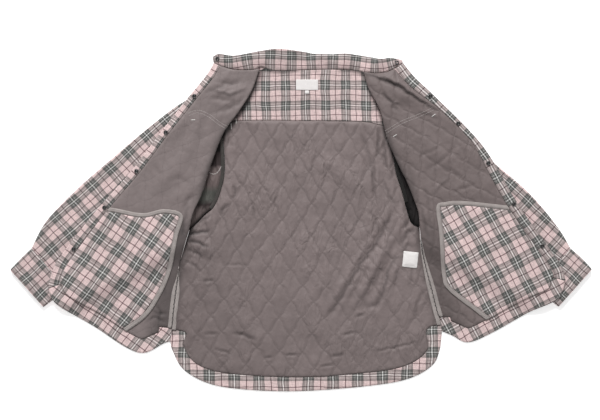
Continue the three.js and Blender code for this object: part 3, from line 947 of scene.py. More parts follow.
@dataclass
class Patch:
    """A flat area cut into triangles: its points, triangles and the edges of its outline."""

    points: Points
    triangles: Numbers
    rim: Numbers

    @classmethod
    def cut(cls, outside: Measure, low: Points, high: Points, cell: float) -> Patch:
        """Cuts an area out of a grid of triangles, with clean edges.

        Args:
            outside: how far points lie outside the area, negative inside.
            low: the lowest corner of the grid.
            high: the highest corner of the grid.
            cell: the width of the grid's cells.
        Returns:
            The area's triangles.
        """
        counts = np.ceil((high - low) / cell).astype(int) + 2
        xs, ys = (low[k] - cell / 2 + np.arange(counts[k]) * cell for k in range(2))
        x, y = np.meshgrid(xs, ys)
        points = np.stack([x.ravel(), y.ravel()], axis=1)
        far = outside(points)
        near = np.where(np.abs(far) < SNAPPED * cell)[0]
        reach = 0.1
        for _ in range(2):
            here = points[near]
            value = outside(here)
            ways = [outside(here + way) - outside(here - way) for way in reach * np.eye(2)]
            points[near] = here - np.stack(ways, axis=1) / (2 * reach) * value[:, None]
        far[near] = 0.0
        row = counts[0]
        a = (np.arange(counts[1] - 1)[:, None] * row + np.arange(row - 1)).ravel()
        b, c, d = a + 1, a + row + 1, a + row
        flip = (((a // row) + (a % row)) % 2 == 0)[:, None]
        one = np.where(flip, np.stack([a, b, c], 1), np.stack([a, b, d], 1))
        two = np.where(flip, np.stack([a, c, d], 1), np.stack([b, c, d], 1))
        triangles = np.vstack([one, two])
        reach = far[triangles]
        whole = (reach.max(1) <= 0) & (reach.min(1) < 0)
        flat = (reach == 0).all(1)
        whole[flat] = outside(points[triangles[flat]].mean(1)) < 0
        crossed = triangles[(reach.max(1) > 0) & (reach.min(1) < 0)]
        points, extra = cls._clipped(points, far, crossed)
        triangles = np.vstack([triangles[whole], extra]) if len(extra) else triangles[whole]
        triangles = cls._largest(triangles, len(points))
        used, triangles = np.unique(triangles, return_inverse=True)
        triangles = triangles.reshape(-1, 3)
        return cls(points[used], triangles, cls._rim(triangles))

    @staticmethod
    def _clipped(points: Points, far: Numbers, crossed: Numbers) -> tuple[Points, Points]:
        """Cuts the triangles that the outline crosses.

        Args:
            points: the grid's points.
            far: how far they lie outside.
            crossed: the crossed triangles.
        Returns:
            The points with the new ones, and what is left of the crossed triangles.
        """
        cuts: dict[tuple[int, int], int] = {}
        added: list[Points] = []
        kept: list[tuple[int, int, int]] = []

        def cut(i: int, j: int) -> int:
            """The point where the outline crosses an edge.

            Args:
                i: the number of one end.
                j: the number of the other.
            Returns:
                The number of the new point.
            """
            key = (min(i, j), max(i, j))
            if key not in cuts:
                share = far[i] / (far[i] - far[j])
                added.append(points[i] + (points[j] - points[i]) * share)
                cuts[key] = len(points) + len(added) - 1
            return cuts[key]

        for triangle in crossed:
            shape: list[int] = []
            for i, j in zip(triangle, np.roll(triangle, -1)):
                if far[i] <= 0:
                    shape.append(int(i))
                if far[i] * far[j] < 0:
                    shape.append(cut(int(i), int(j)))
            kept.extend((shape[0], p, q) for p, q in zip(shape[1:], shape[2:]))
        points = np.vstack([points, added]) if added else points
        return points, np.array(kept, dtype=int).reshape(-1, 3)

    @staticmethod
    def _largest(triangles: Numbers, count: int) -> Numbers:
        """The triangles without stray bits that hang together with few others.

        Args:
            triangles: rows of three point numbers.
            count: how many points there are.
        Returns:
            The rows that stay.
        """
        label = np.arange(count)
        while True:
            least = label[triangles].min(1)
            new = label.copy()
            np.minimum.at(new, triangles.ravel(), np.repeat(least, 3))
            new = new[new]
            if (new == label).all():
                break
            label = new
        groups, size = np.unique(label[triangles[:, 0]], return_counts=True)
        keep = groups[size >= STRAY_SHARE * len(triangles)]
        return triangles[np.isin(label[triangles[:, 0]], keep)]

    @staticmethod
    def _rim(triangles: Numbers) -> Numbers:
        """The edges that only one triangle has, in that triangle's direction.

        Args:
            triangles: rows of three point numbers.
        Returns:
            Rows of two point numbers.
        """
        edges = np.vstack([triangles[:, [0, 1]], triangles[:, [1, 2]], triangles[:, [2, 0]]])
        key = np.sort(edges, axis=1)
        _, first, count = np.unique(key, axis=0, return_index=True, return_counts=True)
        return edges[first[count == 1]]


class Frame:
    """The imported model, and where the layout lies in it."""

    def __init__(self) -> None:
        """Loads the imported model, keeps its size and works out the layout's place."""
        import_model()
        self.size = self.corners()
        self.pieces: list[Piece] = []
        low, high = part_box("neck_label")
        middle = (low + high) / 2
        self.shift = np.array([middle.x - NECK_LABEL[0] * MM, middle.y - NECK_LABEL[1] * MM])

    @staticmethod
    def corners() -> list[list[float]]:
        """The corners of the whole object's box, as plain lists."""
        return [[float(value) for value in corner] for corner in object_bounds()]

    def place(self, points: Points, heights: Numbers) -> Points:
        """Layout points and heights in the frame, in metres."""
        return np.column_stack([points * MM + self.shift, heights * MM])

    def add(self, name: str, places: Points, faces: Sequence[Numbers],
            maps: dict[str, Points], material: Material) -> Piece:
        """Adds a mesh of triangles or quads to the scene.

        Args:
            name: the piece's name.
            places: its vertices, in metres in the frame.
            faces: its faces, in groups with as many corners, as rows of vertex numbers.
            maps: its UV maps by name, with a pair for each vertex.
            material: its finish.
        Returns:
            The piece.
        """
        mesh = bpy.data.meshes.new(name)
        loops = np.concatenate([group.ravel() for group in faces]).astype(np.int32)
        sizes = np.concatenate([np.full(len(group), group.shape[1]) for group in faces])
        starts = np.concatenate([[0], np.cumsum(sizes)[:-1]]).astype(np.int32)
        mesh.vertices.add(len(places))
        mesh.vertices.foreach_set("co", places.astype(np.float32).ravel())
        mesh.loops.add(len(loops))
        mesh.loops.foreach_set("vertex_index", loops)
        mesh.polygons.add(len(sizes))
        mesh.polygons.foreach_set("loop_start", starts)
        mesh.update(calc_edges=True)
        for title, pairs in maps.items():
            layer = mesh.uv_layers.new(name=title)
            layer.data.foreach_set("uv", pairs[loops].astype(np.float32).ravel())
        mesh.validate()
        mesh.shade_smooth()
        mesh.materials.append(material)
        return shown(name, mesh)

    def settle(self, piece: Piece, slot: Slot, replaces: Sequence[str] = ()) -> None:
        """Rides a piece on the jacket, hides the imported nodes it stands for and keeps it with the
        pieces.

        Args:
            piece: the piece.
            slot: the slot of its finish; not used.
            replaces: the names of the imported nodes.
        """
        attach(piece, "root")
        if replaces:
            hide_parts(*replaces)
        self.pieces.append(piece)


@dataclass(frozen=True)
class Grain:
    """How a woven check lies on a piece: one repeat for each unit of its UV map."""

    x: float
    y: float
    warp: tuple[float, float]
    across: float
    along: float
    bend: float = 0.0

    def size(self, points: Points, _area: float) -> tuple[float, float]:
        """The width and length, in metres, of the cloth that a piece is cut from."""
        span = np.ptp(Grain(0, 0, self.warp, 1, 1).coordinates(points), axis=0) * MM
        return max(float(span[0]), LEAST_STRIP), max(float(span[1]), LEAST_STRIP)

    def coordinates(self, points: Points) -> Points:
        """The check's coordinates at some points.

        Args:
            points: places on the layout.
        Returns:
            A pair of numbers for each point.
        """
        length = math.hypot(*self.warp)
        wx, wy = self.warp[0] / length, self.warp[1] / length
        x, y = points[:, 0] - self.x, points[:, 1] - self.y
        along = x * wx + y * wy
        across = x * wy - y * wx
        across = (across + self.bend * np.sin(along / 47 + 0.7)
                  + self.bend * 0.6 * np.sin(across / 71))
        along = along + self.bend * np.sin(across / 53 + 1.9)
        return np.stack([across / self.across, along / self.along], axis=1)


@dataclass(frozen=True)
class EdgeGrain:
    """A woven check that follows a line, such as the edge of a facing."""

    line: Points
    across: float
    along: float
    offset: float = 0.0
    start: float = 0.0

    def size(self, points: Points, area: float) -> tuple[float, float]:
        """The width and length, in metres, of the strip that a piece is cut from."""
        length = float(np.ptp(nearest_on(points, self.line)[0])) * MM
        return max(area / length, LEAST_STRIP), length

    def coordinates(self, points: Points) -> Points:
        """The check's coordinates at some points.

        Args:
            points: places on the layout.
        Returns:
            A pair of numbers for each point.
        """
        run, side = nearest_on(points, self.line)
        across, along = (side + self.offset) / self.across, (run + self.start) / self.along
        return np.stack([across, along], axis=1)


def no_relief(points: Points) -> Numbers:
    """No relief at all."""
    return np.zeros(len(points))


@dataclass
class Cloth:
    """A piece of cloth on a bed, cut along its outlines.

    Its sizes are in millimetres: `lower` and `upper` are its faces above the bed, `keep` holds the
    outlines that it lies inside of, and `remove` those of the pieces that it leaves room for.
    """

    name: str
    bed: Height
    lower: float
    upper: float
    keep: list[Outline]
    material: Material
    slot: Slot
    grain: Grain | EdgeGrain
    rests_on: tuple[str, ...] = ()
    remove: list[Outline] = field(default_factory=list)
    strip: Points | None = None
    relief: Measure = no_relief
    shade: Measure = no_relief
    quiet: Measure = no_relief
    lattice: Lattice | None = None
    replaces: tuple[str, ...] = ()
    cell: float = 4.0
    turned: float = 2.0
    form: Form = Form.SHEET
    fill: float = 0.2
    held: str = "laid"

    def outside(self, points: Points) -> Numbers:
        """How far points lie outside the piece.

        Args:
            points: places on the layout.
        Returns:
            The distance of each, negative inside.
        """
        parts = [outline.outside(points) + GAP / 2 for outline in self.keep]
        parts += [GAP / 2 - outline.outside(points) for outline in self.remove]
        return np.max(parts, axis=0)

    def build(self, frame: Frame) -> Piece:
        """Args:
            frame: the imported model's frame.
        Returns:
            The piece.
        """
        low = np.max([outline.points.min(0) for outline in self.keep], axis=0) - self.cell
        high = np.min([outline.points.max(0) for outline in self.keep], axis=0) + self.cell
        patch = Patch.cut(self.outside, low, high, self.cell)
        points, count = patch.points, len(patch.points)
        bed = self.bed(points[:, 0], points[:, 1])
        depth = -self.outside(points)
        depth[np.unique(patch.rim)] = 0
        round_off = np.sqrt(1 - (1 - np.clip(depth / self.turned, 0, 1)) ** 2)
        middle = (self.lower + self.upper) / 2
        half = (self.upper - self.lower) / 2 * (EDGE_SHARE + (1 - EDGE_SHARE) * round_off)
        bottom = bed + middle - half
        top = bed + middle + half + self.relief(points) * soft_step(depth, 0, RELIEF_FADE)
        top = np.maximum(top, bottom + LEAST_THICKNESS)
        places = np.vstack([frame.place(points, top), frame.place(points, bottom)])
        a, b = patch.rim.T
        rim = np.stack([a + count, b + count, b, a], axis=1)
        faces = [np.vstack([patch.triangles, patch.triangles[:, ::-1] + count]), rim]
        maps = {"Check": self.grain.coordinates(points)}
        if self.lattice is not None:
            maps["Quilt"] = self.lattice.coordinates(points)
        # The Shade map holds painted shade, then how far the quilting is smoothed out.
        maps["Shade"] = np.stack([np.clip(self.shade(points), 0, MOST_PAINTED_SHADE), self.quiet(points)], 1)
        maps = {title: np.vstack([pairs, pairs]) for title, pairs in maps.items()}
        piece = frame.add(self.name, places, faces, maps, self.material)
        frame.settle(piece, self.slot, self.replaces)
        if self.form is Form.PADDED:
            return piece
        a, b, c = (points[patch.triangles[:, k]] * MM for k in range(3))
        area = float(np.abs(np.cross(b - a, c - a)).sum()) / 2
        grain = self.grain if self.strip is None else EdgeGrain(self.strip, 1, 1)
        grain.size(points, area)
        return piece


# ---- Finishes ----


class Nodes:
    """A material's node tree, with short calls to fill it."""

    def __init__(self, name: str) -> None:
        """Starts a material with its shader and each point's place on the object.

        Args:
            name: the material's name.
        """
        self.material = bpy.data.materials.new(name)
        self.material.use_nodes = True
        self.tree = self.material.node_tree
        self.shader = next(n for n in self.tree.nodes if n.type == "BSDF_PRINCIPLED")
        self.spot = self.add("TexCoord").outputs["Object"]

    def add(self, kind: str, *inputs: object, **settings: object) -> bpy.types.Node:
        """Adds a node.

        Args:
            kind: the node's type, without its common beginning.
            inputs: values or sockets for its inputs, in order.
            settings: the node's own settings.
        Returns:
            The node.
        """
        node = self.tree.nodes.new(f"ShaderNode{kind}")
        for key, value in settings.items():
            setattr(node, key, value)
        for socket, value in zip([s for s in node.inputs if s.enabled], inputs):
            self.put(socket, value)
        return node

    def put(self, socket: Socket, value: object) -> None:
        """Links a socket to an input, or sets its value, or leaves it where there is none.

        Args:
            socket: the input.
            value: a socket, a value or None.
        """
        if isinstance(value, Socket):
            self.tree.links.new(value, socket)
        elif value is not None:
            socket.default_value = value

    def set(self, node: bpy.types.Node, **values: object) -> bpy.types.Node:
        """Fills a node's inputs by name, with underscores for spaces.

        Args:
            node: the node.
            values: a value or socket for each input.
        Returns:
            The node.
        """
        for key, value in values.items():
            self.put(node.inputs[key.replace("_", " ")], value)
        return node

    def math(self, operation: str, *inputs: object) -> Socket:
        """The outcome of a sum on numbers."""
        return self.add("Math", *inputs, operation=operation).outputs[0]

    def vector(self, operation: str, *inputs: object) -> Socket:
        """The outcome of a sum on vectors or colours."""
        return self.add("VectorMath", *inputs, operation=operation).outputs[0]

    def scale(self, vector: Socket, *factors: float) -> Socket:
        """A vector with each of its parts multiplied."""
        return self.add("Mapping", vector, None, None, factors).outputs[0]

    def span(self, value: Socket, *ends: object) -> Socket:
        """A number carried from one span to another: the first one's ends, then the other's."""
        return self.add("MapRange", value, *ends).outputs[0]

    def pair(self, title: str) -> list[Socket]:
        """Both numbers of one of the piece's own maps."""
        return self.add("SeparateXYZ", self.add("UVMap", uv_map=title).outputs[0]).outputs[:2]

    def plain(self, colour: Colour) -> Socket:
        """A plain colour.

        Args:
            colour: its red, green and blue.
        Returns:
            The socket that gives it.
        """
        node = self.add("RGB")
        node.outputs[0].default_value = (*colour, 1.0)
        return node.outputs[0]

    def noise(self, vector: Socket, scale: float, detail: float = 3.0, bent: float = 0.0) -> Socket:
        """Noise, mostly between 0.3 and 0.7.

        Args:
            vector: where it is read.
            scale: how fine it is.
            detail: its finer layers.
            bent: how far it is bent.
        Returns:
            The socket that gives it.
        """
        node = self.add("TexNoise")
        self.set(node, Vector=vector, Scale=scale, Detail=detail, Distortion=bent)
        return node.outputs["Fac"]

    def ramp(self, value: Socket, stops: Sequence[tuple[float, tuple]]) -> bpy.types.Node:
        """A colour ramp with its stops.

        Args:
            value: the number that it turns into a colour.
            stops: the place and colour of each stop, in order.
        Returns:
            The node.
        """
        node = self.add("ValToRGB", value)
        elements = node.color_ramp.elements
        for position, _ in stops[len(elements):]:
            elements.new(position)
        for element, (position, _) in zip(elements, stops):
            element.position = position
        for element, (_, colour) in zip(elements, stops):
            element.color = (*colour, 1.0)[:4]
        return node

    def tint(self, colour: Socket, noise: Socket, low: float, high: float) -> Socket:
        """A colour made darker or lighter by some noise."""
        return self.vector("MULTIPLY", colour, self.span(noise, 0.3, 0.7, low, high))

    def mottled(self, colour: Socket, scale: float, detail: float, *ends: float) -> Socket:
        """A colour made darker or lighter by noise in the object's own space."""
        return self.tint(colour, self.noise(self.spot, scale, detail), *ends)

    def rough(self, depth: float, below: Socket | None, *noise: float) -> Socket:
        """A normal bumped by noise, its depth in millimetres, on top of another normal."""
        return self.bump(self.noise(self.spot, *noise), depth * MM, below)

    def shaded(self, colour: Socket) -> Socket:
        """A colour darkened by the painted shade of the piece's own Shade map, such as in its deep
        creases.
        """
        return self.vector("MULTIPLY", colour, self.math("SUBTRACT", 1.0, self.pair("Shade")[0]))

    def bump(self, height: Socket, distance: float, below: Socket | None = None) -> Socket:
        """A bumped normal, on top of another one.

        Args:
            height: the height at each spot.
            distance: how strongly it counts, in metres.
            below: the normal that it adds to.
        Returns:
            The normal.
        """
        node = self.add("Bump")
        self.set(node, Strength=1.0, Distance=distance, Height=height, Normal=below)
        return node.outputs["Normal"]

    def finish(self, colour: Socket, normal: Socket, **values: object) -> Material:
        """Joins a colour and a normal to the shader and sets its other values.

        Args:
            colour: the base colour.
            normal: the bumped normal.
            values: the shader's other inputs, with underscores for spaces.
        Returns:
            The material.
        """
        self.set(self.shader, Base_Color=colour, Normal=normal, **values)
        return self.material


@dataclass(frozen=True)
class CheckFlannel:
    """Brushed flannel in a yarn-dyed check: its yarn colours and the order of its stripes."""

    pink: Colour = (0.715, 0.553, 0.542)
    grey: Colour = (0.115, 0.113, 0.108)
    dark: Colour = (0.074, 0.073, 0.070)
    pale: Colour = (0.42, 0.41, 0.395)
    white: Colour = (0.82, 0.81, 0.79)
    line: Colour = (0.055, 0.022, 0.027)
    threads: float = 84.0
    wander: float = 0.14
    warp_over_weft: float = 1.12

    def stripes(self, white: float) -> list[tuple[float, tuple[float, float, float, float]]]:
        """The stops of one repeat, from the middle of a white line to the next.

        Args:
            white: how strongly the white yarn shows.
        Returns:
            Positions with the root of each yarn's colour, and how strongly the yarn shows.
        """
        half = (
            (0.000, 0.017, self.white, white), (0.028, 0.086, self.dark, 0.62),
            (0.096, 0.116, self.pale, 0.42), (0.126, 0.190, self.grey, 0.5),
            (0.199, 0.228, self.dark, 0.7), (0.240, 0.478, self.pink, 0.5),
        )
        back = [(1 - end, 1 - start, *yarn) for start, end, *yarn in reversed(half)]
        stops = []
        for start, end, colour, strength in (*half, (0.487, 0.513, self.line, 1.0), *back):
            rooted = (*(math.sqrt(part) for part in colour), strength)
            stops += [(start, rooted), (end, rooted)]
        return stops

    def build(self) -> Material:
        """Makes the check from both sets of yarns, with its twill, its brushed nap and painted shade.

        Returns:
            The material.
        """
        n = Nodes("check_flannel")
        place = n.add("UVMap", uv_map="Check").outputs[0]
        drift = n.add("TexNoise", place, 0.9).outputs["Color"]
        drift = n.vector("SUBTRACT", drift, (0.5, 0.5, 0.5))
        drift = n.vector("MULTIPLY", drift, (self.wander, self.wander, 0.0))
        place = n.vector("ADD", place, drift)
        across, along = n.add("SeparateXYZ", place).outputs[:2]
        warp = n.ramp(n.math("FRACT", across), self.stripes(0.95))
        weft = n.ramp(n.math("FRACT", along), self.stripes(0.6))
        strong = n.math("MULTIPLY", warp.outputs[1], self.warp_over_weft)
        share = n.math("DIVIDE", weft.outputs[1], n.math("ADD", strong, weft.outputs[1]))
        mix = n.set(n.add("Mix", data_type="RGBA"), Factor=share)
        n.put(mix.inputs[6], warp.outputs[0])
        n.put(mix.inputs[7], weft.outputs[0])
        colour = n.vector("MULTIPLY", mix.outputs[2], mix.outputs[2])
        for counts in ((5.0, self.threads), (self.threads, 5.0), (26.0, 3.0), (3.0, 26.0)):
            colour = n.tint(colour, n.noise(n.scale(place, *counts, 1.0), 1.0), 0.86, 1.12)
        # A random mottle, and painted shade from the piece's Shade map.
        colour = n.shaded(n.mottled(colour, 9.0, 2.0, 0.95, 1.04))
        diagonal = n.math("MULTIPLY", n.math("ADD", across, along), self.threads * math.pi)
        normal = n.rough(1.6, None, 38.0, 3.0, 0.4)
        normal = n.rough(0.25, n.bump(n.math("SINE", diagonal), 0.09 * MM, normal), 1500.0, 2.0)
        return n.finish(colour, normal, Roughness=0.93, Specular_IOR_Level=0.18,
                        Sheen_Weight=0.22, Sheen_Roughness=0.55)


@dataclass(frozen=True)
class WovenLining:
    """Smooth taupe lining, with the grooves of its quilting in millimetres and painted shade in them.
    """

    name: str
    groove: float = 0.6
    groove_shade: float = 0.86
    colour: Colour = (0.180, 0.144, 0.141)
    crumple: float = 1.0

    def build(self) -> Material:
        """Makes the lining's weave, its creases and its stitched grooves, with painted shade.

        Returns:
            The material.
        """
        n = Nodes(self.name)
        colour = n.mottled(n.plain(self.colour), 6.0, 3.0, 0.95, 1.05)
        colour = n.mottled(colour, 55.0, 4.0, 0.95, 1.05)
        crumple = n.noise(n.scale(n.spot, 44.0, 24.0, 24.0), 1.0, 2.0, 0.8)
        crumple = n.math("ABSOLUTE", n.math("SUBTRACT", crumple, 0.5))
        patchy = n.span(n.noise(n.spot, 9.0, 2.0), 0.38, 0.62, 0.15, 1.0)
        pleats = n.noise(n.scale(n.spot, 95.0, 24.0, 24.0), 1.0, 2.0, 0.5)
        weave = n.noise(n.scale(n.spot, 1500.0, 400.0, 400.0), 1.0, 1.0)
        normal = n.bump(n.math("MULTIPLY", crumple, patchy), 6.5 * MM * self.crumple)
        normal = n.bump(n.math("MULTIPLY", pleats, patchy), 3.2 * MM * self.crumple, normal)
        normal = n.bump(weave, 0.07 * MM, n.rough(0.7, normal, 120.0, 3.0, 0.5))
        wander = n.span(n.noise(n.spot, 45.0, 2.0), 0.3, 0.7, -0.05, 0.05)
        a, b = n.pair("Quilt")
        a, b = n.math("ADD", a, wander), n.math("SUBTRACT", b, wander)
        away = n.math("MINIMUM", n.math("PINGPONG", a, 0.5), n.math("PINGPONG", b, 0.5))
        groove = n.add("MapRange", away, 0.0, 0.16, 0.0, 1.0, interpolation_type="SMOOTHSTEP")
        normal = n.bump(groove.outputs[0], self.groove * MM, normal)
        # Painted shade in the stitched grooves, uneven, and fainter where the quilting is smoothed
        # out.
        depth = n.span(n.noise(n.spot, 14.0, 2.0), 0.35, 0.65, 1.0, self.groove_shade)
        depth = n.math("MAXIMUM", depth, n.pair("Shade")[1])
        colour = n.shaded(n.vector("MULTIPLY", colour, n.span(away, 0.0, 0.10, depth, 1.0)))
        return n.finish(colour, normal, Roughness=0.62, Specular_IOR_Level=0.35,
                        Sheen_Weight=0.12, Sheen_Roughness=0.4)


@dataclass(frozen=True)
class RibbedTape:
    """Binding tape with fine ribs across it, and lines along it, in millimetres."""

    name: str = "ribbed_tape"
    colour: Colour = (0.345, 0.308, 0.295)
    rib: float = 1.5
    line: float = 4.1

    def build(self) -> Material:
        """Makes the tape's ribs along its own map, in millimetres.

        Returns:
            The material.
        """
        n = Nodes(self.name)
        across, along = n.pair("Check")
        rib = n.math("SINE", n.math("MULTIPLY", along, 2 * math.pi / self.rib))
        line = n.math("SINE", n.math("MULTIPLY", across, 2 * math.pi / self.line))
        colour = n.mottled(n.plain(self.colour), 60.0, 3.0, 0.9, 1.1)
        colour = n.vector("MULTIPLY", colour, n.span(rib, -1.0, 1.0, 0.86, 1.06))
        normal = n.bump(line, 0.12 * MM, n.bump(rib, 0.16 * MM))
        normal = n.rough(0.9, normal, 90.0, 2.0)
        return n.finish(colour, normal, Roughness=0.85, Specular_IOR_Level=0.25, Sheen_Weight=0.1)


@dataclass(frozen=True)
class SleeveSatin:
    """The sleeves' dark satin lining: its own tone with bands of painted shade down the right
    armhole, and black painted shadow all over the left one.
    """

    shadow_black: Colour = (0.016, 0.014, 0.014)
    shadowed: Colour = (0.036, 0.027, 0.027)
    green: Colour = (0.080, 0.080, 0.072)
    brown: Colour = (0.125, 0.098, 0.095)
    reach: float = 150.0

    def build(self) -> Material:
        """Makes the satin's bands of painted shade and its small folds, which also darken and lighten
        it.

        Returns:
            The material.
        """
        n = Nodes("sleeve_satin")
        across, height = n.add("SeparateXYZ", n.spot).outputs[:2]
        creased = n.noise(n.scale(n.spot, 90.0, 26.0, 26.0), 1.0, 2.0, 0.8)
        bent = n.math("SUBTRACT", height, n.math("MULTIPLY", creased, 8 * MM))
        share = n.span(bent, 0.0, self.reach * MM, 0.0, 1.0)
        # The left sleeve takes the last stop, black painted shadow.
        share = n.math("MAXIMUM", share, n.math("GREATER_THAN", across, 0.0))
        # The brown and green stops are the satin's own tone, the darker stops painted shade.
        stops = [(0.0, self.brown), (0.13, self.brown), (0.20, self.shadowed), (0.28, self.green),
                 (0.40, self.green), (0.50, self.brown), (0.76, self.brown), (0.80, self.shadowed),
                 (0.99, self.shadowed), (1.0, self.shadow_black)]
        # The folds' noise also darkens and lightens the colour: painted shade and sheen.
        colour = n.tint(n.shaded(n.ramp(share, stops).outputs[0]), creased, 0.8, 1.25)
        return n.finish(colour, n.bump(creased, 6.0 * MM), Roughness=0.7, Specular_IOR_Level=0.12)


@dataclass(frozen=True)
class Satin:
    """White label satin, blank."""

    colour: Colour = (0.72, 0.69, 0.68)

    def build(self) -> Material:
        """Makes the satin's fine floats.

        Returns:
            The material.
        """
        n = Nodes("label_satin")
        floats = n.noise(n.scale(n.spot, 2600.0, 260.0, 260.0), 1.0, 1.0)
        colour = n.tint(n.plain(self.colour), floats, 0.94, 1.03)
        normal = n.rough(0.6, n.bump(floats, 0.05 * MM), 130.0, 2.0)
        return n.finish(colour, normal, Roughness=0.42, Specular_IOR_Level=0.5, Sheen_Weight=0.1)


@dataclass(frozen=True)
class Thread:
    """Sewing thread of one colour."""

    name: str
    colour: Colour

    def build(self) -> Material:
        """Makes the thread with its twist.

        Returns:
            The material.
        """
        n = Nodes(self.name)
        twist = n.noise(n.spot, 2400.0, 1.0)
        colour = n.tint(n.plain(self.colour), twist, 0.85, 1.1)
        return n.finish(colour, n.bump(twist, 0.08 * MM), Roughness=0.6, Specular_IOR_Level=0.35)


@dataclass(frozen=True)
class DarkNickel:
    """The snaps' dark plated metal, rubbed brighter in places."""

    dark: Colour = (0.055, 0.055, 0.06)
    bright: Colour = (0.16, 0.155, 0.15)

    def build(self) -> Material:
        """Makes the metal's wear.

        Returns:
            The material.
        """
        n = Nodes("dark_nickel")
        colour = n.ramp(n.noise(n.spot, 700.0, 4.0), [(0.3, self.dark), (0.7, self.bright)])
        normal = n.rough(0.03, None, 1800.0, 2.0)
        return n.finish(colour.outputs[0], normal, Roughness=0.34, Metallic=0.9)


@dataclass(frozen=True)
class PaperWithPaintedGlow:
    """The pale surface that the jacket lies on, which glows evenly where nothing covers it: painted
    light that washes out the jacket's shadows.
    """

    glow: float = 0.42
    covered_within: float = 5.0

    def build(self) -> Material:
        """Makes the surface's faint mottle and its glow.

        Returns:
            The material.
        """
        n = Nodes("pale_surface")
        colour = n.ramp(n.noise(n.spot, 3.0, 2.0), [(0.3, (0.97,) * 3), (0.7, (0.99,) * 3)])
        above = n.set(n.add("AmbientOcclusion", samples=12), Distance=self.covered_within * MM)
        lit = n.span(above.outputs["AO"], 0.2, 0.4, 0.0, self.glow)
        normal = n.rough(0.05, None, 400.0, 2.0)
        return n.finish(colour.outputs[0], normal, Roughness=0.9, Specular_IOR_Level=0.1,
                        Emission_Color=(1, 1, 1, 1), Emission_Strength=lit)


class Finishes:
    """Every finish of the jacket, made once."""

    def __init__(self) -> None:
        """Makes the materials."""
        self.check = CheckFlannel().build()
        # The left lining's colour is darker than the others': painted shade for the weaker light on
        # that side.
        self.linings = {
            "back": WovenLining("quilted_lining_back"),
            "left": WovenLining("quilted_lining_left", 0.8, 0.86, (0.152, 0.121, 0.118), 0.5),
            "right": WovenLining("quilted_lining_right", 0.1, 0.99, (0.180, 0.147, 0.144), 0.4),
        }
        self.linings = {key: lining.build() for key, lining in self.linings.items()}
        self.sleeve_satin = SleeveSatin().build()
        self.tape = RibbedTape().build()
        # The armhole tapes are painted dark for the shade in the armhole, the left one black.
        self.armhole_tapes = {
            "right": RibbedTape("shaded_tape", (0.060, 0.054, 0.050)).build(),
            "left": RibbedTape("dark_tape", (0.014, 0.013, 0.012)).build(),
        }
        self.satin = Satin().build()
        self.metal = DarkNickel().build()
        self.threads = {
            name: Thread(f"{name}_thread", colour).build()
            for name, colour in (
                ("taupe", (0.135, 0.108, 0.106)), ("pale", (0.46, 0.42, 0.41)),
                ("white", (0.66, 0.64, 0.62)), ("dark", (0.035, 0.032, 0.032)),
                ("pink", (0.42, 0.34, 0.33)),
            )
        }
        self.surface = PaperWithPaintedGlow().build()


# ---- What repeats: stitches and snaps ----


class Repeats:
    """Geometry Nodes trees for what repeats along a line or on points."""

    def __init__(self, name: str, sizes: dict[str, float]) -> None:
        """Starts a tree.

        Args:
            name: the tree's name.
            sizes: the name and first value, in millimetres, of each of its sizes.
        """
        self.tree = bpy.data.node_groups.new(name, "GeometryNodeTree")
        face = self.tree.interface
        face.new_socket("Geometry", in_out="INPUT", socket_type="NodeSocketGeometry")
        for title, value in sizes.items():
            socket = face.new_socket(title, in_out="INPUT", socket_type="NodeSocketFloat")
            socket.default_value = value * MM
        face.new_socket("Finish", in_out="INPUT", socket_type="NodeSocketMaterial")
        face.new_socket("Geometry", in_out="OUTPUT", socket_type="NodeSocketGeometry")
        self.given = self.tree.nodes.new("NodeGroupInput").outputs
        self.end = self.tree.nodes.new("NodeGroupOutput")

    def add(self, kind: str, **inputs: object) -> bpy.types.Node:
        """Adds a node.

        Args:
            kind: the node's type, with or without its common beginning.
            inputs: its settings, and values or sockets for its named inputs.
        Returns:
            The node.
        """
        known = kind.startswith(("ShaderNode", "FunctionNode"))
        node = self.tree.nodes.new(kind if known else f"GeometryNode{kind}")
        for key, value in inputs.items():
            if hasattr(node, key) and not isinstance(value, Socket):
                setattr(node, key, value)
                continue
            named = (s for s in node.inputs if s.name.replace(" ", "_") == key and s.enabled)
            if isinstance(value, Socket):
                self.tree.links.new(value, next(named))
            else:
                next(named).default_value = value
        return node

    def close(self, points: Socket, shape: Socket, **turned: Socket) -> None:
        """Ends the tree: a shape on each point, made real, with its finish.

        Args:
            points: the points.
            shape: the shape to set on each.
            turned: how the shape is turned and scaled.
        """
        put = self.add("InstanceOnPoints", Points=points, Instance=shape, **turned).outputs[0]
        real = self.add("RealizeInstances", Geometry=put).outputs[0]
        dressed = self.add("SetMaterial", Geometry=real, Material=self.given["Finish"]).outputs[0]
        smooth = self.add("SetShadeSmooth", Geometry=dressed).outputs[0]
        self.tree.links.new(smooth, self.end.inputs[0])

    def apply(self, piece: Piece, **values: object) -> None:
        """Runs the tree on a piece and leaves a plain mesh.

        Args:
            piece: the object whose mesh the tree starts from.
            values: the tree's inputs by name.
        """
        modifier = piece.modifiers.new("repeats", "NODES")
        modifier.node_group = self.tree
        for item in self.tree.interface.items_tree:
            if item.in_out == "INPUT" and item.name.replace(" ", "_") in values:
                modifier[item.identifier] = values[item.name.replace(" ", "_")]
        graph = bpy.context.evaluated_depsgraph_get()
        mesh = bpy.data.meshes.new_from_object(piece.evaluated_get(graph))
        piece.modifiers.remove(modifier)
        piece.data = mesh


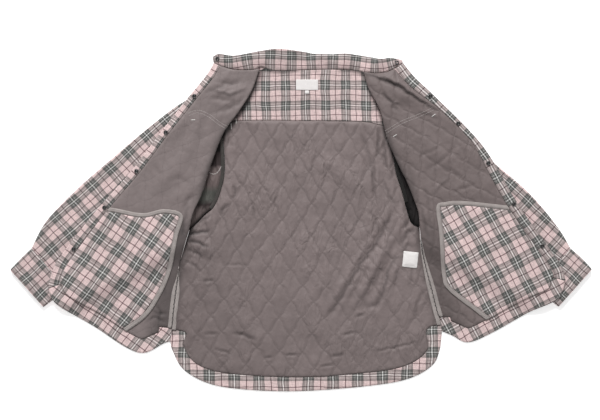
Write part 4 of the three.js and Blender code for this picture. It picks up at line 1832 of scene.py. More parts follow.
def stitch_tree() -> Repeats:
    """A row of stitches along each line of a mesh of edges.

    Returns:
        The tree.
    """
    tree = Repeats("stitch_row", {"Pitch": 3.0, "Stitch Length": 2.2, "Thickness": 0.6})
    given = tree.given
    line = tree.add("MeshToCurve", Mesh=given["Geometry"]).outputs[0]
    spots = tree.add("ResampleCurve", mode="LENGTH", Curve=line, Length=given["Pitch"])
    thread = tree.add("MeshUVSphere", Segments=4, Rings=4, Radius=0.5)
    size = tree.add("ShaderNodeCombineXYZ", X=given["Thickness"], Y=given["Thickness"],
                    Z=given["Stitch Length"])
    way = tree.add("InputTangent").outputs[0]
    turn = tree.add("FunctionNodeAlignRotationToVector", axis="Z", Vector=way)
    tree.close(spots.outputs[0], thread.outputs["Mesh"], Rotation=turn.outputs[0],
               Scale=size.outputs[0])
    return tree


def snap_tree() -> Repeats:
    """A ring snap on each point: a plate, a rolled rim and a raised socket ring.

    Returns:
        The tree.
    """
    tree = Repeats("ring_snaps", {"Plate Radius": 4.9, "Ring Radius": 3.9, "Rim Thickness": 0.95})
    given = tree.given
    plate = tree.add("MeshCylinder", Vertices=28, Radius=given["Plate Radius"], Depth=0.7 * MM)
    whole = tree.add("JoinGeometry")
    tree.tree.links.new(plate.outputs["Mesh"], whole.inputs[0])
    for sides, radius, around, thickness, height in (
        (28, given["Ring Radius"], 8, given["Rim Thickness"], 0.9),
        (20, 1.9 * MM, 6, 0.55 * MM, 0.8),
    ):
        ring = tree.add("CurvePrimitiveCircle", Resolution=sides, Radius=radius).outputs[0]
        bead = tree.add("CurvePrimitiveCircle", Resolution=around, Radius=thickness).outputs[0]
        rolled = tree.add("CurveToMesh", Curve=ring, Profile_Curve=bead).outputs[0]
        raised = tree.add("Transform", Geometry=rolled, Translation=(0, 0, height * MM))
        tree.tree.links.new(raised.outputs[0], whole.inputs[0])
    tree.close(given["Geometry"], whole.outputs[0])
    return tree


@dataclass(frozen=True)
class Stitch:
    """One kind of stitch, in millimetres."""

    pitch: float = 3.0
    length: float = 2.2
    thickness: float = 0.6


@dataclass
class Needle:
    """Sews rows of stitches onto finished pieces."""

    frame: Frame
    tree: Repeats
    longest_edge: float = 6.0
    lift: float = 0.08

    def sew(self, name: str, lines: Sequence[Points], onto: Sequence[Piece], thread: Material,
            slot: Slot, stitch: Stitch = Stitch(), off: Measure | None = None) -> None:
        """Sews rows along lines, dropped from above onto the pieces.

        Args:
            name: the name of the joined stitches.
            lines: the rows' lines in the layout.
            onto: the pieces that the stitches lie on.
            thread: the thread's finish.
            slot: the slot that the thread belongs to.
            stitch: the kind of stitch.
            off: how far points lie outside the area to sew, negative inside.
        """
        graph = bpy.context.evaluated_depsgraph_get()
        cloth = [BVHTree.FromObject(piece, graph) for piece in onto]
        places: list[Vector] = []
        edges: list[tuple[int, int]] = []
        for line in lines:
            fine = respaced(line, 2.5)
            there = off(fine) < 0 if off is not None else np.full(len(fine), True)
            last = -1
            for point, wanted in zip(fine * MM + self.frame.shift, there):
                hit = self._drop(cloth, point) if wanted else None
                if hit is None:
                    last = -1
                    continue
                places.append(hit + Vector((0, 0, self.lift * MM)))
                if last >= 0 and (places[last] - hit).length < self.longest_edge * MM:
                    edges.append((last, len(places) - 1))
                last = len(places) - 1
        piece = drawn(name, places, edges)
        self.tree.apply(piece, Pitch=stitch.pitch * MM, Stitch_Length=stitch.length * MM,
                        Thickness=stitch.thickness * MM, Finish=thread)
        self.frame.settle(piece, slot)

    @staticmethod
    def _drop(cloth: Sequence[BVHTree], point: Points) -> Vector | None:
        """The highest place on the cloth under a point, if there is one."""
        hits = [tree.ray_cast(Vector((*point, 0.2)), Vector((0, 0, -1)))[0] for tree in cloth]
        return max((hit for hit in hits if hit is not None), key=lambda hit: hit.z, default=None)


# ---- Sleeves ----


@dataclass
class Tube:
    """A flattened tube of cloth: a sleeve, its lining or a cuff."""

    name: str
    side: Side
    lower: list[Points]
    upper: list[Points]
    insets: tuple[float, float]
    material: Material
    slot: Slot
    grain: Grain
    replaces: tuple[str, ...] = ()
    rings: int = 10
    ripples: float = 0.7
    radius: float = SLEEVE_HEIGHT / 2

    def station(self, lines: list[Points], at: Numbers, share: Numbers) -> Points:
        """The points of one face at some stations along the tube and shares across it.

        Args:
            lines: the tube's lines across, one for each station.
            at: the stations, from 0 on.
            share: the shares across the tube, from its inner to its outer edge.
        Returns:
            A point for each station and share.
        """
        spread = np.stack([self.across(line, share) for line in lines])
        last = len(lines) - 1
        index = np.clip(np.floor(at).astype(int), 0, last - 1)
        around = (np.maximum(index - 1, 0), index, index + 1, np.minimum(index + 2, last))
        return between(*(spread[k] for k in around), (at - index)[:, None, None])

    @staticmethod
    def across(line: Points, share: Numbers) -> Points:
        """Points at shares of a line's length."""
        run = run_of(line)
        return np.stack([np.interp(share * run[-1], run, line[:, k]) for k in range(2)], axis=1)

    def ring(self, inset: float) -> tuple[Numbers, Numbers, Numbers, Numbers]:
        """The stops round a ring: face, share across, height and added reach round the edge.

        Args:
            inset: how far inside the outer surface the ring is, in millimetres.
        Returns:
            For each stop the face (-1 lower, 1 upper), the offset from the inner edge in
            millimetres, from the outer edge past FROM_OUTER, or on the flat between them,
            the height and the added reach.
        """
        radius = self.radius
        turns = np.radians(np.linspace(0, 90, 5))
        bend = radius - (radius - inset) * np.cos(turns)
        high = (radius - inset) * np.sin(turns)
        flat = np.linspace(0, 1, 34)[1:-1]
        offsets = np.concatenate([bend, radius + flat * ON_FLAT, FROM_OUTER + bend[::-1]])
        heights = np.concatenate([high, np.full(len(flat), radius - inset), high[::-1]])
        round_edge = ((math.pi / 2 - turns) - np.cos(turns))[::-1] * radius
        reach = np.concatenate([np.zeros(len(bend) + len(flat)), round_edge])
        face = np.concatenate([np.ones(len(offsets)), -np.ones(len(offsets) - 2)])
        back = slice(-2, 0, -1)
        return (face, np.concatenate([offsets, offsets[back]]),
                np.concatenate([heights, -heights[back]]),
                np.concatenate([reach, (math.pi - 2) * radius - reach[back]]))

    def laid(self, lines: list[Points], at: Numbers, offset: Numbers) -> Points:
        """The layout points of one face's rings.

        Args:
            lines: the face's lines across.
            at: the rings' stations.
            offset: the stops round a ring.
        Returns:
            A point for each ring and stop.
        """
        fine = np.linspace(0, 1, 200)
        whole = self.station(lines, at, fine)
        length = np.linalg.norm(np.diff(whole, axis=1), axis=2).sum(1)[:, None]
        edge = self.radius / length
        share = np.where(offset >= FROM_OUTER, 1 - (offset - FROM_OUTER) / length, offset / length)
        middle = edge + (offset - self.radius) / ON_FLAT * (1 - 2 * edge)
        share = np.where((offset > self.radius) & (offset < FROM_OUTER), middle, share)
        return np.stack([
            np.stack([np.interp(row, fine, line[:, k]) for k in range(2)], axis=1)
            for row, line in zip(share, whole)
        ])

    def surface(self, inset: float) -> tuple[Points, Points, int]:
        """One surface of the wall: its layout points with heights, its map and the ring's size.

        Args:
            inset: how far inside the outer surface it is, in millimetres.
        Returns:
            The points, the pairs of the check's map, and how many points a ring has.
        """
        at = np.linspace(0, len(self.lower) - 1, (len(self.lower) - 1) * self.rings + 1)
        face, offset, height, reach = self.ring(inset)
        below = (face < 0)[None, :, None]
        low, high = (self.laid(lines, at, offset) for lines in (self.lower, self.upper))
        flat = np.where(below, low, high)
        inner, outer = (self.station(self.upper, at, np.array([k]))[:, 0] for k in (0.0, 1.0))
        along = np.gradient(outer, axis=0)
        along /= np.linalg.norm(along, axis=1)[:, None]
        away = flat - outer[:, None]
        run = (away * along[:, None]).sum(2, keepdims=True)
        mirrored = outer[:, None] + 2 * run * along[:, None] - away
        outward = self.side.out * np.stack([-along[:, 1], along[:, 0]], axis=1)
        outward *= np.sign((outward * (outer - inner)).sum(1))[:, None]
        cloth = np.where(below, mirrored, flat) + reach[None, :, None] * outward[:, None]
        points = flat.reshape(-1, 2)
        out = self.side.out
        lift = Ripples(11 + out, self.ripples, 60, 2.2, 40 * out).rise(points)
        lift += Ripples(3 + out, self.ripples * 0.6, 27, 2.5, 40 * out).rise(points)
        lift = lift * np.tile(np.clip(height / self.radius, 0, 1), len(at))
        heights = np.tile(height, len(at)) + self.radius + lift
        pairs = self.grain.coordinates(cloth.reshape(-1, 2))
        return np.column_stack([points, heights]), pairs, len(face)

    def shade(self, points: Points) -> Numbers:
        """How much painted shade the sleeve gets: all over by the side's amount, in uneven soft waves
        and, most of all, on its lining along the armhole.

        Args:
            points: places on the layout.
        Returns:
            The share of painted shade at each.
        """
        waves = Ripples(25, 1.0, 60, 2.5, 40 * self.side.out).rise(points)
        edge = nearest_on(points, spline(self.side.armhole))[1]
        # Painted shadow inside the armhole, on the lining only.
        dark = 0.9 * np.exp(-((edge / 7) ** 2)) * (self.slot is Slot.LINING)
        return np.clip(self.side.sleeve_shade + 0.06 * waves + dark, 0, 1)

    def build(self, frame: Frame) -> Piece:
        """Args:
            frame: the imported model's frame.
        Returns:
            The piece.
        """
        outer, outer_map, loop = self.surface(self.insets[0])
        inner, inner_map, _ = self.surface(self.insets[1])
        order = np.arange(len(outer)).reshape(-1, loop)
        full = np.vstack([order, order[::-1] + len(outer)])
        below = np.roll(full, -1, axis=0)
        corners = (full, np.roll(full, -1, axis=1), np.roll(below, -1, axis=1), below)
        quads = np.stack([corner.ravel() for corner in corners], axis=1)
        points = np.vstack([outer, inner])
        quads = quads if self.volume(points, quads) > 0 else quads[:, ::-1]
        dark = self.shade(points[:, :2])
        maps = {"Check": np.vstack([outer_map, inner_map]), "Shade": np.stack([dark, dark], 1)}
        places = frame.place(points[:, :2], points[:, 2])
        piece = frame.add(self.name, places, [quads], maps, self.material)
        frame.settle(piece, self.slot, self.replaces)
        return piece

    @staticmethod
    def volume(points: Points, quads: Numbers) -> float:
        """The signed volume inside a closed mesh.

        Args:
            points: its points.
            quads: its faces, as rows of four point numbers.
        Returns:
            The volume, positive where the faces look outwards.
        """
        total = 0.0
        for corners in ((0, 1, 2), (0, 2, 3)):
            a, b, c = (points[quads[:, k]] for k in corners)
            total += float(np.einsum("ij,ij->i", a, np.cross(b, c)).sum())
        return total / 6


# ---- The jacket's parts ----


@dataclass
class Part:
    """A part of the jacket: the frame that it is made in, and the finishes."""

    frame: Frame
    finishes: Finishes


@dataclass
class Collar(Part):
    """The collar stand and the leaf turned down behind it."""

    crown: float = 2.0

    def roll(self, points: Points) -> Numbers:
        """The rounded roll of the stand, with uneven soft waves.

        Args:
            points: places on the layout.
        Returns:
            The rise at each, in millimetres.
        """
        depth = -signed_distance(points, COLLAR_OUTLINE)
        wave = Ripples(21, 0.5, 55).rise(points) + Ripples(22, 0.25, 24).rise(points)
        return self.crown * soft_step(depth, 0, 15) + wave * soft_step(depth, 2, 10)

    def shade(self, points: Points) -> Numbers:
        """How much painted shade the stand gets along its lower edge and in uneven soft waves, and
        how much darker it is all over.
        """
        lower = np.exp(-((nearest_on(points, spline(COLLAR_LOWER))[1] / 5) ** 2))
        return np.clip(0.16 + 0.3 * lower + 0.12 * Ripples(23, 1.0, 45).rise(points), 0, 1)

    def build(self) -> dict[str, Piece]:
        """Makes both pieces.

        Returns:
            The pieces by name.
        """
        lower = spline(COLLAR_LOWER)
        check, slot = self.finishes.check, Slot.CHECK
        grain = EdgeGrain(spline(COLLAR_GRAIN), 44, 47, 4, 10)
        stand = Cloth(
            "collar_stand_cloth", collar_bed, 0, STAND, [Outline(COLLAR_OUTLINE)], check, slot,
            grain, replaces=("collar_stand",), relief=self.roll, shade=self.shade, cell=3.2,
            turned=5, rests_on=("collar_leaf",), strip=lower,
        )
        leaf = Cloth(
            "collar_leaf_cloth", floor_bed, 0, LEAF, [Outline(spline(COLLAR_LEAF))], check, slot,
            grain, replaces=("collar_leaf",), cell=5, strip=lower,
        )
        return {cloth.name: cloth.build(self.frame) for cloth in (stand, leaf)}


@dataclass
class Back(Part):
    """The back: shell, inner yoke, quilted lining and hem facing."""

    lattice: Lattice = Lattice(-22.5, 118, 0, 44, 73.6, 7.5)
    care_label: tuple[float, float] = (246.5, -84.0)

    def outline(self) -> Outline:
        """The back's outline.

        Returns:
            The outline.
        """
        return Outline(np.vstack([
            spline(RIGHT.side_seam)[::-1],
            moved(spline(RIGHT.armhole), GAP * RIGHT.out),
            np.array([RIGHT.neck, LEFT.neck], float),
            moved(spline(LEFT.armhole), GAP * LEFT.out)[::-1],
            spline(LEFT.side_seam),
            spline(BACK_HEM)[::-1],
        ]))

    def puffs(self, points: Points) -> Numbers:
        """The quilting's puffs with the lining's creases, flat under the care label.

        Args:
            points: places on the layout.
        Returns:
            The rise at each, in millimetres.
        """
        x, y = points.T
        bare = soft_step(np.hypot(x - self.care_label[0], y - self.care_label[1]), 24, 44)
        creased = sum(crease.rise(points) for crease in BACK_CREASES)
        waves = Ripples(31, 0.6, 70).rise(points) + Ripples(32, 0.4, 20, 2.4).rise(points)
        drawn = soft_step(x, 100, 175) + 0.8 * soft_step(-x, 120, 165)
        drawn = drawn * soft_step(y, -110, -20)
        waves = waves + drawn * Ripples(34, 1.25, 19, 4.0, 6).rise(points)
        quilted = self.lattice.rise(points) * (1 - 0.62 * self.quiet(points))
        return (quilted + 0.2 + waves + creased) * bare - 0.3 * (1 - bare)

    def quiet(self, points: Points) -> Numbers:
        """How far the quilting is smoothed out, most of all low on the left.

        Args:
            points: places on the layout.
        Returns:
            The share at each, 1 where it is all smooth.
        """
        x, y = points.T
        low_left = 0.45 * soft_step(x, 20, 110) * soft_step(-y, -30, 60)
        return 0.5 * soft_step(-y, -20, 160) + low_left

    def shade(self, points: Points) -> Numbers:
        """How much painted shade the back gets in creases, beside fronts and tapes and under the
        collar; it is also darker low on the wearer's right and towards the bottom.

        Args:
            points: places on the layout.
        Returns:
            The share of dark at each.
        """
        x, y = points.T
        shade = sum(crease.shade(points) for crease in BACK_CREASES)
        shade = shade + 0.10 * soft_step(-x, 60, 220) * soft_step(-y, -60, 60)
        shade = shade + 0.05 * soft_step(-y, 120, 260)
        # Painted shade along each side seam, and the painted shadow of each front's edge.
        for side in SIDES:
            seam = nearest_on(points, spline(side.side_seam))[1]
            shade = shade + 0.5 * np.exp(-((seam / 12) ** 2))
            depth, reach = side.slit_shade
            away = nearest_on(points, spline(side.crease))[1]
            shade = shade + depth * np.exp(-((away / reach) ** 2)) * soft_step(y, -60, 20)
        # Painted shadow under the collar, deeper in two stretches beside the middle.
        under = np.maximum(-nearest_on(points, spline(COLLAR_LOWER))[1], 0)
        deeper_shadow = soft_step(-x, 0, 18) * soft_step(x, -110, -92) + soft_step(x, 74, 96)
        return shade + (0.2 + 0.6 * deeper_shadow) * np.exp(-((under / 6.5) ** 2))

    def build(self) -> dict[str, Piece]:
        """Makes the back's pieces.

        Returns:
            The pieces by name.
        """
        outline, yoke, hem = self.outline(), above_yoke_seam(), below_hem_edge()
        collar, waves = Outline(COLLAR_OUTLINE), SoftWaves(41, 0.35, 60, 1, 0.15, 22).rise
        check, slot, over = self.finishes.check, Slot.CHECK, OVER_SHELL
        pieces = [
            Cloth("back_shell_cloth", back_bed, 0, SHELL, [outline], check, slot,
                  Grain(-20, 0, (0, 1), 56, 58), remove=[collar], replaces=("back_shell",),
                  cell=6.5),
            Cloth("back_yoke_cloth", back_bed, over, over + SHELL, [outline, yoke], check, slot,
                  Grain(-78.1, 263.5, (0, 1), -45.2, 45, 1.6), remove=[collar],
                  replaces=("back_yoke_lining",), cell=3.2, relief=waves, shade=self.shade,
                  rests_on=("back_shell",)),
            Cloth("back_quilting", back_bed, over, over + QUILT, [outline],
                  self.finishes.linings["back"], Slot.LINING, Grain(0, 0, (0, 1), 50, 50),
                  remove=[yoke, hem], replaces=("back_lining",), cell=2.9, relief=self.puffs,
                  shade=self.shade, quiet=self.quiet, lattice=self.lattice, form=Form.PADDED,
                  turned=4),
            Cloth("back_hem_facing_cloth", back_bed, over, over + SHELL, [outline, hem], check,
                  slot, Grain(-207, -397, (0, 1), -55.8, 52), replaces=("back_hem_facing",),
                  cell=3.2, relief=waves, rests_on=("back_shell",), strip=spline(BACK_HEM)),
        ]
        return {cloth.name: cloth.build(self.frame) for cloth in pieces}


@dataclass
class Front(Part):
    """One front: shell, quilted lining, facings, pocket bag and its binding, and side tapes."""

    side: Side
    lattice: Lattice
    bag_grain: Grain
    seam_tape: tuple[float, float] = (1.8, 3.0)
    seam_tape_growth: float = 6.5

    def areas(self) -> dict[str, Outline]:
        """The outlines that the front's pieces are cut with.

        Returns:
            The outlines by name.
        """
        side, out = self.side, self.side.out
        edge, hem = spline(side.front_edge), spline(side.front_hem)
        seams = [spline(side.crease)[::-1], spline(side.side_seam), hem[::-1], edge[::-1]]
        facing = [side.facing_edge(0), moved(edge, out * PAST_HEM)[::-1]]
        run = run_of(hem)
        inner = moved(hem, -out * HEM_FACING_WIDTH)[run < run[-1] - HEM_TAB_START]
        below = [inner, side.hem_tab, moved(hem, out * PAST_HEM)[::-1]]
        pocket = np.vstack([spline(side.pocket), [[out * PAST_EDGE, -300], [out * PAST_EDGE, 60]]])
        return {
            "outline": Outline(np.vstack(seams)), "facing": Outline(np.vstack(facing)),
            "hem": Outline(np.vstack(below)), "pocket": Outline(pocket),
            "bag": Outline(pocket, -BINDING_WIDTH), "collar": Outline(COLLAR_OUTLINE),
        }

    def puffs(self, points: Points) -> Numbers:
        """The front quilting's puffs, low where the pocket bag lies on them.

        Args:
            points: places on the layout.
        Returns:
            The rise at each, in millimetres.
        """
        free = soft_step(self.areas()["pocket"].outside(points), 0, 14)
        waves = SoftWaves(50 + self.side.out, 0.45, 75, 4, 0.22, 28, 1.8, 30).rise(points)
        creased = sum(crease.rise(points) for crease in self.side.creases)
        return (self.lattice.rise(points) - 0.2 + waves + creased) * free - 0.5 * (1 - free)

    def shade(self, points: Points) -> Numbers:
        """How much painted shade the lining gets in its creases, by the side seam and by the armhole.

        Args:
            points: places on the layout.
        Returns:
            The share of dark at each.
        """
        y = points[:, 1]
        seam = np.abs(nearest_on(points, spline(self.side.side_seam))[1])
        edge = nearest_on(points, spline(self.side.crease))[1]
        slit = soft_step(y, 20, 70) * (1 - soft_step(y, 190, 260)) * np.exp(-((edge / 10) ** 2))
        seam_shade = (1 - soft_step(seam, 22, 74)) * soft_step(-y, -30, 30)
        creased = sum(crease.shade(points) for crease in self.side.creases)
        return self.side.seam_shade * seam_shade + 0.52 * slit + creased

    def tapes(self, hem: Outline) -> list[Cloth]:
        """The tapes on both sides of the side seam, narrow at the top and wider below.

        Args:
            hem: the front's hem facing.
        Returns:
            The tape on the front and the tape on the back.
        """
        side, name = self.side, self.side.name
        seam = spline(side.side_seam)
        span = seam[run_of(seam) > 3]
        share = np.arange(len(span)) / len(span)
        width = np.interp(np.linspace(0, 1, len(span)), (0, 1), self.seam_tape)
        width = width + soft_step(share, *side.tape_growth) * self.seam_tape_growth
        return [
            Cloth(f"{name}_side_tape_{piece}", bed, ON_LINING, ON_LINING + TAPE,
                  [Outline(np.vstack([span, moved(span, side.out * direction * width)[::-1]]))],
                  self.finishes.tape, Slot.TAPE, EdgeGrain(span, 1, 1), remove=[edge], cell=2.4,
                  replaces=(f"{name}_side_binding_{piece}",), rests_on=(under,))
            for piece, direction, bed, edge, under in (
                ("front", 1, side.bed, hem, f"{name}_front_lining"),
                ("back", -1, back_bed, below_hem_edge(), "back_lining"),
            )
        ]

    def build(self) -> dict[str, Piece]:
        """Makes the front's pieces.

        Returns:
            The pieces by name, without the side's name.
        """
        side, name, bed, area = self.side, self.side.name, self.side.bed, self.areas()
        check, slot, over = self.finishes.check, Slot.CHECK, OVER_SHELL
        outline, collar, facing, hem = (area[k] for k in ("outline", "collar", "facing", "hem"))
        shell, lining = (f"{name}_front_shell",), (f"{name}_front_lining",)
        along_edge = EdgeGrain(spline(side.front_edge), 52 * side.out, 58, side.facing_start, 10)
        grain = Grain(0, 0, side.grain, 52, 60)
        waves = SoftWaves(60 + side.out, 0.5, 70, 4, 0.2, 26).rise
        pieces = [
            Cloth(f"{name}_front_shell_cloth", bed, 0, SHELL, [outline], check, slot, grain,
                  remove=[collar], replaces=shell, cell=6),
            Cloth(f"{name}_front_quilting", bed, over, over + QUILT, [outline],
                  self.finishes.linings[name], Slot.LINING, grain, remove=[collar, facing, hem],
                  replaces=lining, cell=3.2, relief=self.puffs, shade=self.shade,
                  lattice=self.lattice, form=Form.PADDED, turned=5),
            Cloth(f"{name}_front_facing_cloth", bed, over, over + SHELL, [outline, facing],
                  check, slot, along_edge, remove=[collar, hem],
                  replaces=(f"{name}_front_facing",), cell=3, relief=waves, rests_on=shell),
            Cloth(f"{name}_front_hem_facing_cloth", bed, over, over + SHELL, [outline, hem],
                  check, slot, self.bag_grain, replaces=(f"{name}_front_hem_facing",), cell=3,
                  relief=waves, rests_on=shell, strip=spline(side.front_hem)),
            Cloth(f"{name}_pocket_bag_cloth", bed, ON_LINING, ON_LINING + SHELL,
                  [outline, area["bag"]], check, slot, self.bag_grain, remove=[facing, hem],
                  replaces=(f"{name}_pocket_bag",), cell=3.2, relief=waves, rests_on=lining),
            Cloth(f"{name}_pocket_binding_tape", bed, ON_LINING, ON_LINING + BOUND_EDGE,
                  [outline, area["pocket"]], self.finishes.tape, Slot.TAPE,
                  EdgeGrain(spline(side.pocket), 1, 1), remove=[facing, hem, area["bag"]],
                  replaces=(f"{name}_pocket_binding",), cell=2.4, turned=3.2, rests_on=lining),
            *self.tapes(hem),
        ]
        return {cloth.name.removeprefix(f"{name}_"): cloth.build(self.frame) for cloth in pieces}


@dataclass
class Arm(Part):
    """One sleeve with its lining, its cuff and the tape on its armhole seam."""

    side: Side
    warp: tuple[float, float] = (0.745, -0.667)

    def build(self) -> dict[str, Piece]:
        """Makes the arm's pieces.

        Returns:
            The pieces by name, without the side's name.
        """
        side, name, out = self.side, self.side.name, self.side.out
        lines, cuff = lines_across(side.sleeve_edges), lines_across(side.cuff_edges)
        armhole = spline(side.armhole)
        lower, upper = [armhole, *lines], [spline(side.sleeve_lip), *lines]
        warp = (out * self.warp[0], self.warp[1])
        grain = Grain(out * 430, 120, warp, 48, 55, 1.2)
        cuff_grain = Grain(out * 619, -127, warp, 48, 52, 0.6)
        nodes = tuple(f"{name}_sleeve_{length}" for length in ("upper", "elbow", "lower"))
        check, slot = self.finishes.check, Slot.CHECK
        run = run_of(armhole) / run_of(armhole)[-1]
        span = armhole[(run > 0.2) & (run < 0.8)]
        near, far = (moved(span, -out * edge) for edge in (GAP, GAP + SEAM_TAPE_WIDTH))
        base = SLEEVE_WALL + GAP
        pieces = [
            Tube(f"{name}_sleeve_cloth", side, lower, upper, (0.0, 1.2), check, slot, grain,
                 nodes, rings=14),
            Tube(f"{name}_sleeve_lining", side, lower, upper, (1.5, 2.5),
                 self.finishes.sleeve_satin, Slot.LINING, grain, rings=14),
            Tube(f"{name}_cuff_cloth", side, cuff, cuff, (0.0, SLEEVE_WALL), check, slot,
                 cuff_grain, (f"{name}_cuff",), rings=8, ripples=0.35),
            Cloth(f"{name}_armhole_tape", floor_bed, base, base + TAPE,
                  [Outline(np.vstack([near, far[::-1]]))], self.finishes.armhole_tapes[name],
                  Slot.TAPE, EdgeGrain(span, 1, 1), cell=2.4,
                  replaces=(f"{name}_armhole_binding",), rests_on=(nodes[0],)),
        ]
        return {piece.name.removeprefix(f"{name}_"): piece.build(self.frame) for piece in pieces}


@dataclass
class Labels(Part):
    """The blank neck label, size tab and care label."""

    def curl(self, points: Points) -> Numbers:
        """The care label's soft curl, over its folded edge."""
        x, y = points.T
        return 0.9 + 0.8 * np.sin((x - 229) / 34 * math.pi) + 0.35 * np.sin(y / 5.2)

    def build(self) -> dict[str, Piece]:
        """Makes the three labels.

        Returns:
            The pieces by name.
        """
        made = {}
        for name, x, y, width, depth, turn, under, relief in (
            ("neck_label", *NECK_LABEL, 50, 24, 0, SHELL, no_relief),
            ("size_tab", 13.5, 293.5, 10, 7.5, 0, SHELL, no_relief),
            ("care_label", *Back.care_label, 34, 36, -6, QUILT, self.curl),
        ):
            angle = math.radians(turn)
            sine, cosine = math.sin(angle), math.cos(angle)
            corners = np.array([[-1, -1], [1, -1], [1, 1], [-1, 1]]) * (width / 2, depth / 2)
            outline = Outline(corners @ np.array([[cosine, sine], [-sine, cosine]]) + (x, y))
            base = OVER_SHELL + GAP + under
            below = "back_lining" if under == QUILT else "back_yoke_lining"
            cloth = Cloth(f"{name}_satin", back_bed, base, base + LABEL, [outline],
                          self.finishes.satin, Slot.LABEL, Grain(x, y, (0, 1), 50, 50),
                          replaces=(name,), cell=1.6, turned=1.2, relief=relief,
                          rests_on=(below,))
            made[name] = cloth.build(self.frame)
        return made


@dataclass
class Snaps(Part):
    """The ring snaps along both fronts and on the collar's ends."""

    def build(self) -> None:
        """Makes a row of snaps for each side and the pair on the collar, each on its node."""
        tree = snap_tree()
        sets = {f"{side.name}_front_snaps": [f"{side.name}_snap_{k}" for k in range(1, 6)]
                for side in SIDES}
        sets["collar_snaps"] = ["right_collar_snap", "left_collar_snap"]
        for name, nodes in sets.items():
            places = []
            for low, high in map(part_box, nodes):
                places.append(((low.x + high.x) / 2, (low.y + high.y) / 2, low.z + 0.35 * MM))
            piece = drawn(name, places)
            tree.apply(piece, Finish=self.finishes.metal)
            self.frame.settle(piece, Slot.SNAP, nodes)


@dataclass
class Sewing:
    """Every row of stitches on the jacket: its threads, its needle and the finished pieces."""

    threads: dict[str, Material]
    needle: Needle
    made: dict[str, dict[str, Piece]]

    def quilting(self, back: Back, fronts: dict[str, Front]) -> None:
        """Sews the quilting's lines.

        Args:
            back: the back.
            fronts: the fronts by side.
        """
        off = clear_of(back.outline(), 9, [above_yoke_seam(), below_hem_edge()], 5)
        lines = back.lattice.lines(np.array([-300.0, -350.0]), np.array([320.0, 232.0]))
        jobs = [("back", "back_quilting", lines, 0.55, off)]
        for name, front in fronts.items():
            area = front.areas()
            others = [area[key] for key in ("collar", "facing", "hem", "pocket")]
            corners = area["outline"].points.min(0), area["outline"].points.max(0)
            lines = front.lattice.lines(*corners)
            off = clear_of(area["outline"], 7, others, 4)
            jobs.append((name, "front_quilting", lines, 0.5, off))
        for name, piece, lines, thickness, off in jobs:
            self.needle.sew(f"{name}_quilting_stitches", lines, [self.made[name][piece]],
                            self.threads["taupe"], Slot.LINING, Stitch(3.4, 2.6, thickness), off)

    def hold(self, name: str, piece: Piece, *lines: Points) -> None:
        """Sews the rows of one cloth in the check."""
        self.needle.sew(f"{name}_stitches", lines, [piece], self.threads["pink"], Slot.CHECK)

    def edges(self) -> None:
        """Sews the rows along the facings, bindings, yoke, collar and cuffs."""
        back, collar = self.made["back"], self.made["collar"]
        hem = spline(BACK_HEM)
        self.hold("yoke", back["back_yoke_cloth"], moved(spline(YOKE_SEAM), 2.0))
        self.hold("hem_facing", back["back_hem_facing_cloth"],
                  moved(spline(BACK_FACING_EDGE), -2.5), moved(hem, 3.0))
        self.hold("collar", collar["collar_stand_cloth"],
                  moved(spline(COLLAR_LOWER), 3.0), moved(spline(COLLAR_UPPER), 3.5))
        for side in SIDES:
            self.side_edges(side, self.made[side.name])
            cuff = lines_across(side.cuff_edges)
            way = cuff[-1].mean(0) - cuff[0].mean(0)
            step = way / np.linalg.norm(way)
            self.hold(f"{side.name}_cuff", self.made[f"{side.name}_arm"]["cuff_cloth"],
                      cuff[0] + step * 3.0, cuff[0] + step * 8.0, cuff[-1] - step * 4.0)

    def side_edges(self, side: Side, pieces: dict[str, Piece]) -> None:
        """Sews one front's facing, hem, pocket binding and side tapes.

        Args:
            side: the side.
            pieces: the front's pieces.
        """
        name, out = side.name, side.out
        tables = (side.front_edge, side.front_hem, side.side_seam)
        edge, hem, seam = (spline(table) for table in tables)
        self.hold(f"{name}_facing", pieces["front_facing_cloth"],
                  side.facing_edge(-2.5), moved(edge, -out * 3.0))
        self.hold(f"{name}_hem", pieces["front_hem_facing_cloth"],
                  moved(hem, -out * (HEM_FACING_WIDTH - 2.5)), moved(hem, -out * 3.0))
        self.needle.sew(f"{name}_binding_stitches", [moved(spline(side.pocket), out * 8.0)],
                        [pieces["pocket_binding_tape"]], self.threads["taupe"], Slot.TAPE)
        run = run_of(seam)
        span = seam[(run > 20) & (run < run[-1] - 34)]
        zigzag = moved(span, 1.5 * np.where(np.arange(len(span)) % 2 == 0, 1, -1))
        self.needle.sew(f"{name}_side_tape_stitches", [zigzag, moved(span, 0.3)],
                        [pieces["side_tape_front"], pieces["side_tape_back"]],
                        self.threads["dark"], Slot.TAPE, Stitch(3.2, 3.2, 1.5))

    def darts(self) -> None:
        """Sews the pale double rows and bar tacks at the shoulders and the right armhole."""
        pale, white = self.threads["pale"], self.threads["white"]
        for side in SIDES:
            dart = spline(side.dart)
            lining = [self.made[side.name]["front_quilting"]]
            self.needle.sew(f"{side.name}_shoulder_stitches", [dart, moved(dart, 6.0)], lining,
                            pale, Slot.LINING, Stitch(3.0, 2.7, 1.1))
            self.needle.sew(f"{side.name}_shoulder_tacks", side.tacks, lining, white,
                            Slot.LINING, Stitch(0.8, 2.8, 2.2))
        arc = spline(ARMHOLE_ARC)
        self.needle.sew("right_armhole_edge", [arc, moved(arc, 0.8)],
                        list(self.made["right_arm"].values()), pale, Slot.TAPE,
                        Stitch(1.6, 2.0, 1.4))
        self.needle.sew("right_armhole_tacks", ARMHOLE_TACKS, list(self.made["back"].values()),
                        white, Slot.LINING, Stitch(0.8, 2.4, 1.6))


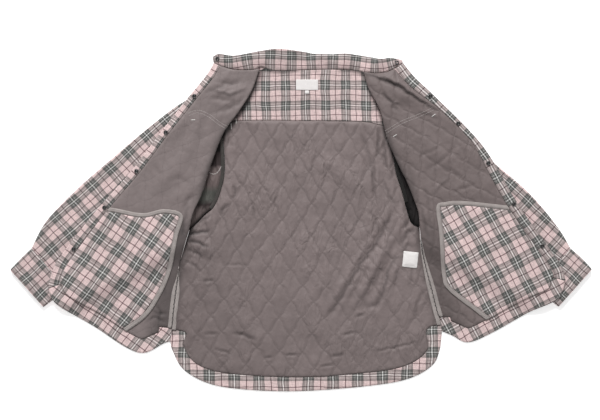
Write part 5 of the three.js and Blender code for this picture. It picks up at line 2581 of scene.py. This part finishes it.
@dataclass
class Stage:
    """The pale surface, the soft lights and the camera above, in metres."""

    finishes: Finishes
    lens: float = 100.0
    sensor: float = 36.0
    view: float = 1.350
    middle: tuple[float, float] = (-0.00225, 0.0228)
    above: float = 0.012
    key: float = 600.0
    fill: float = 0.52
    lamp: tuple[float, float, float] = (-0.9, 6.0, 4.7)
    lamp_size: tuple[float, float] = (2.8, 2.2)
    half: float = 4.0
    below: float = 0.4 * MM

    def surface(self) -> None:
        """Makes the surface that the jacket lies on."""
        corners = [(x * self.half, y * self.half, -self.below)
                   for x, y in ((-1, -1), (1, -1), (1, 1), (-1, 1))]
        plane = drawn("surface", corners, faces=[(0, 1, 2, 3)])
        plane.data.materials.append(self.finishes.surface)
        plane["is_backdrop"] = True

    def lights(self) -> None:
        """Makes the soft light from above and one side, and the even light all round."""
        world = bpy.data.worlds.new("even_light")
        world.use_nodes = True
        even = world.node_tree.nodes["Background"].inputs
        even["Color"].default_value, even["Strength"].default_value = (1, 1, 1, 1), self.fill
        bpy.context.scene.world = world
        light = bpy.data.lights.new("soft_light", "AREA")
        light.shape, light.energy = "RECTANGLE", self.key
        light.size, light.size_y = self.lamp_size
        lamp = shown("soft_light", light)
        lamp.location = self.lamp
        lamp.rotation_euler = (-Vector(self.lamp)).to_track_quat("-Z", "Y").to_euler()

    def camera(self) -> None:
        """Makes the camera that looks straight down."""
        data = bpy.data.cameras.new("camera")
        data.lens, data.sensor_width = self.lens, self.sensor
        camera = shown("camera", data)
        camera.location = (*self.middle, self.view * self.lens / self.sensor + self.above)
        bpy.context.scene.camera = camera

    def build(self) -> None:
        """Makes the whole stage."""
        self.camera()
        self.surface()
        self.lights()
        bpy.context.scene.view_settings.view_transform = "Standard"


def main() -> None:
    """Builds the jacket on its frame, part by part, and reports its pieces."""
    logging.basicConfig(level=logging.INFO, format="%(name)s: %(message)s")
    frame, finishes = Frame(), Finishes()
    Stage(finishes).build()
    back = Back(frame, finishes)
    made = {"collar": Collar(frame, finishes).build(), "back": back.build()}
    fronts = {
        side.name: Front(frame, finishes, side, lattice, Grain(x, y, side.grain, 51.5, 60, 1.0))
        for side, lattice, x, y in (
            (RIGHT, Lattice(-240, 60, -35, 44, 73.6, 0, 0.25, 0.1), -412.4, -63.5),
            (LEFT, Lattice(300, 60, 28.6, 40, 66, 0, 1.5, 0.5), 410.4, -63.0),
        )
    }
    for side in SIDES:
        made[side.name] = fronts[side.name].build()
        made[f"{side.name}_arm"] = Arm(frame, finishes, side).build()
    made["labels"] = Labels(frame, finishes).build()
    Snaps(frame, finishes).build()
    sewing = Sewing(finishes.threads, Needle(frame, stitch_tree()), made)
    sewing.quilting(back, fronts)
    sewing.edges()
    sewing.darts()
    for piece in frame.pieces:
        LOG.info("%s: %d faces", piece.name, len(piece.data.polygons))
    {"cad": frame.size, "visual": Frame.corners()}


if __name__ == "__main__":
    main()
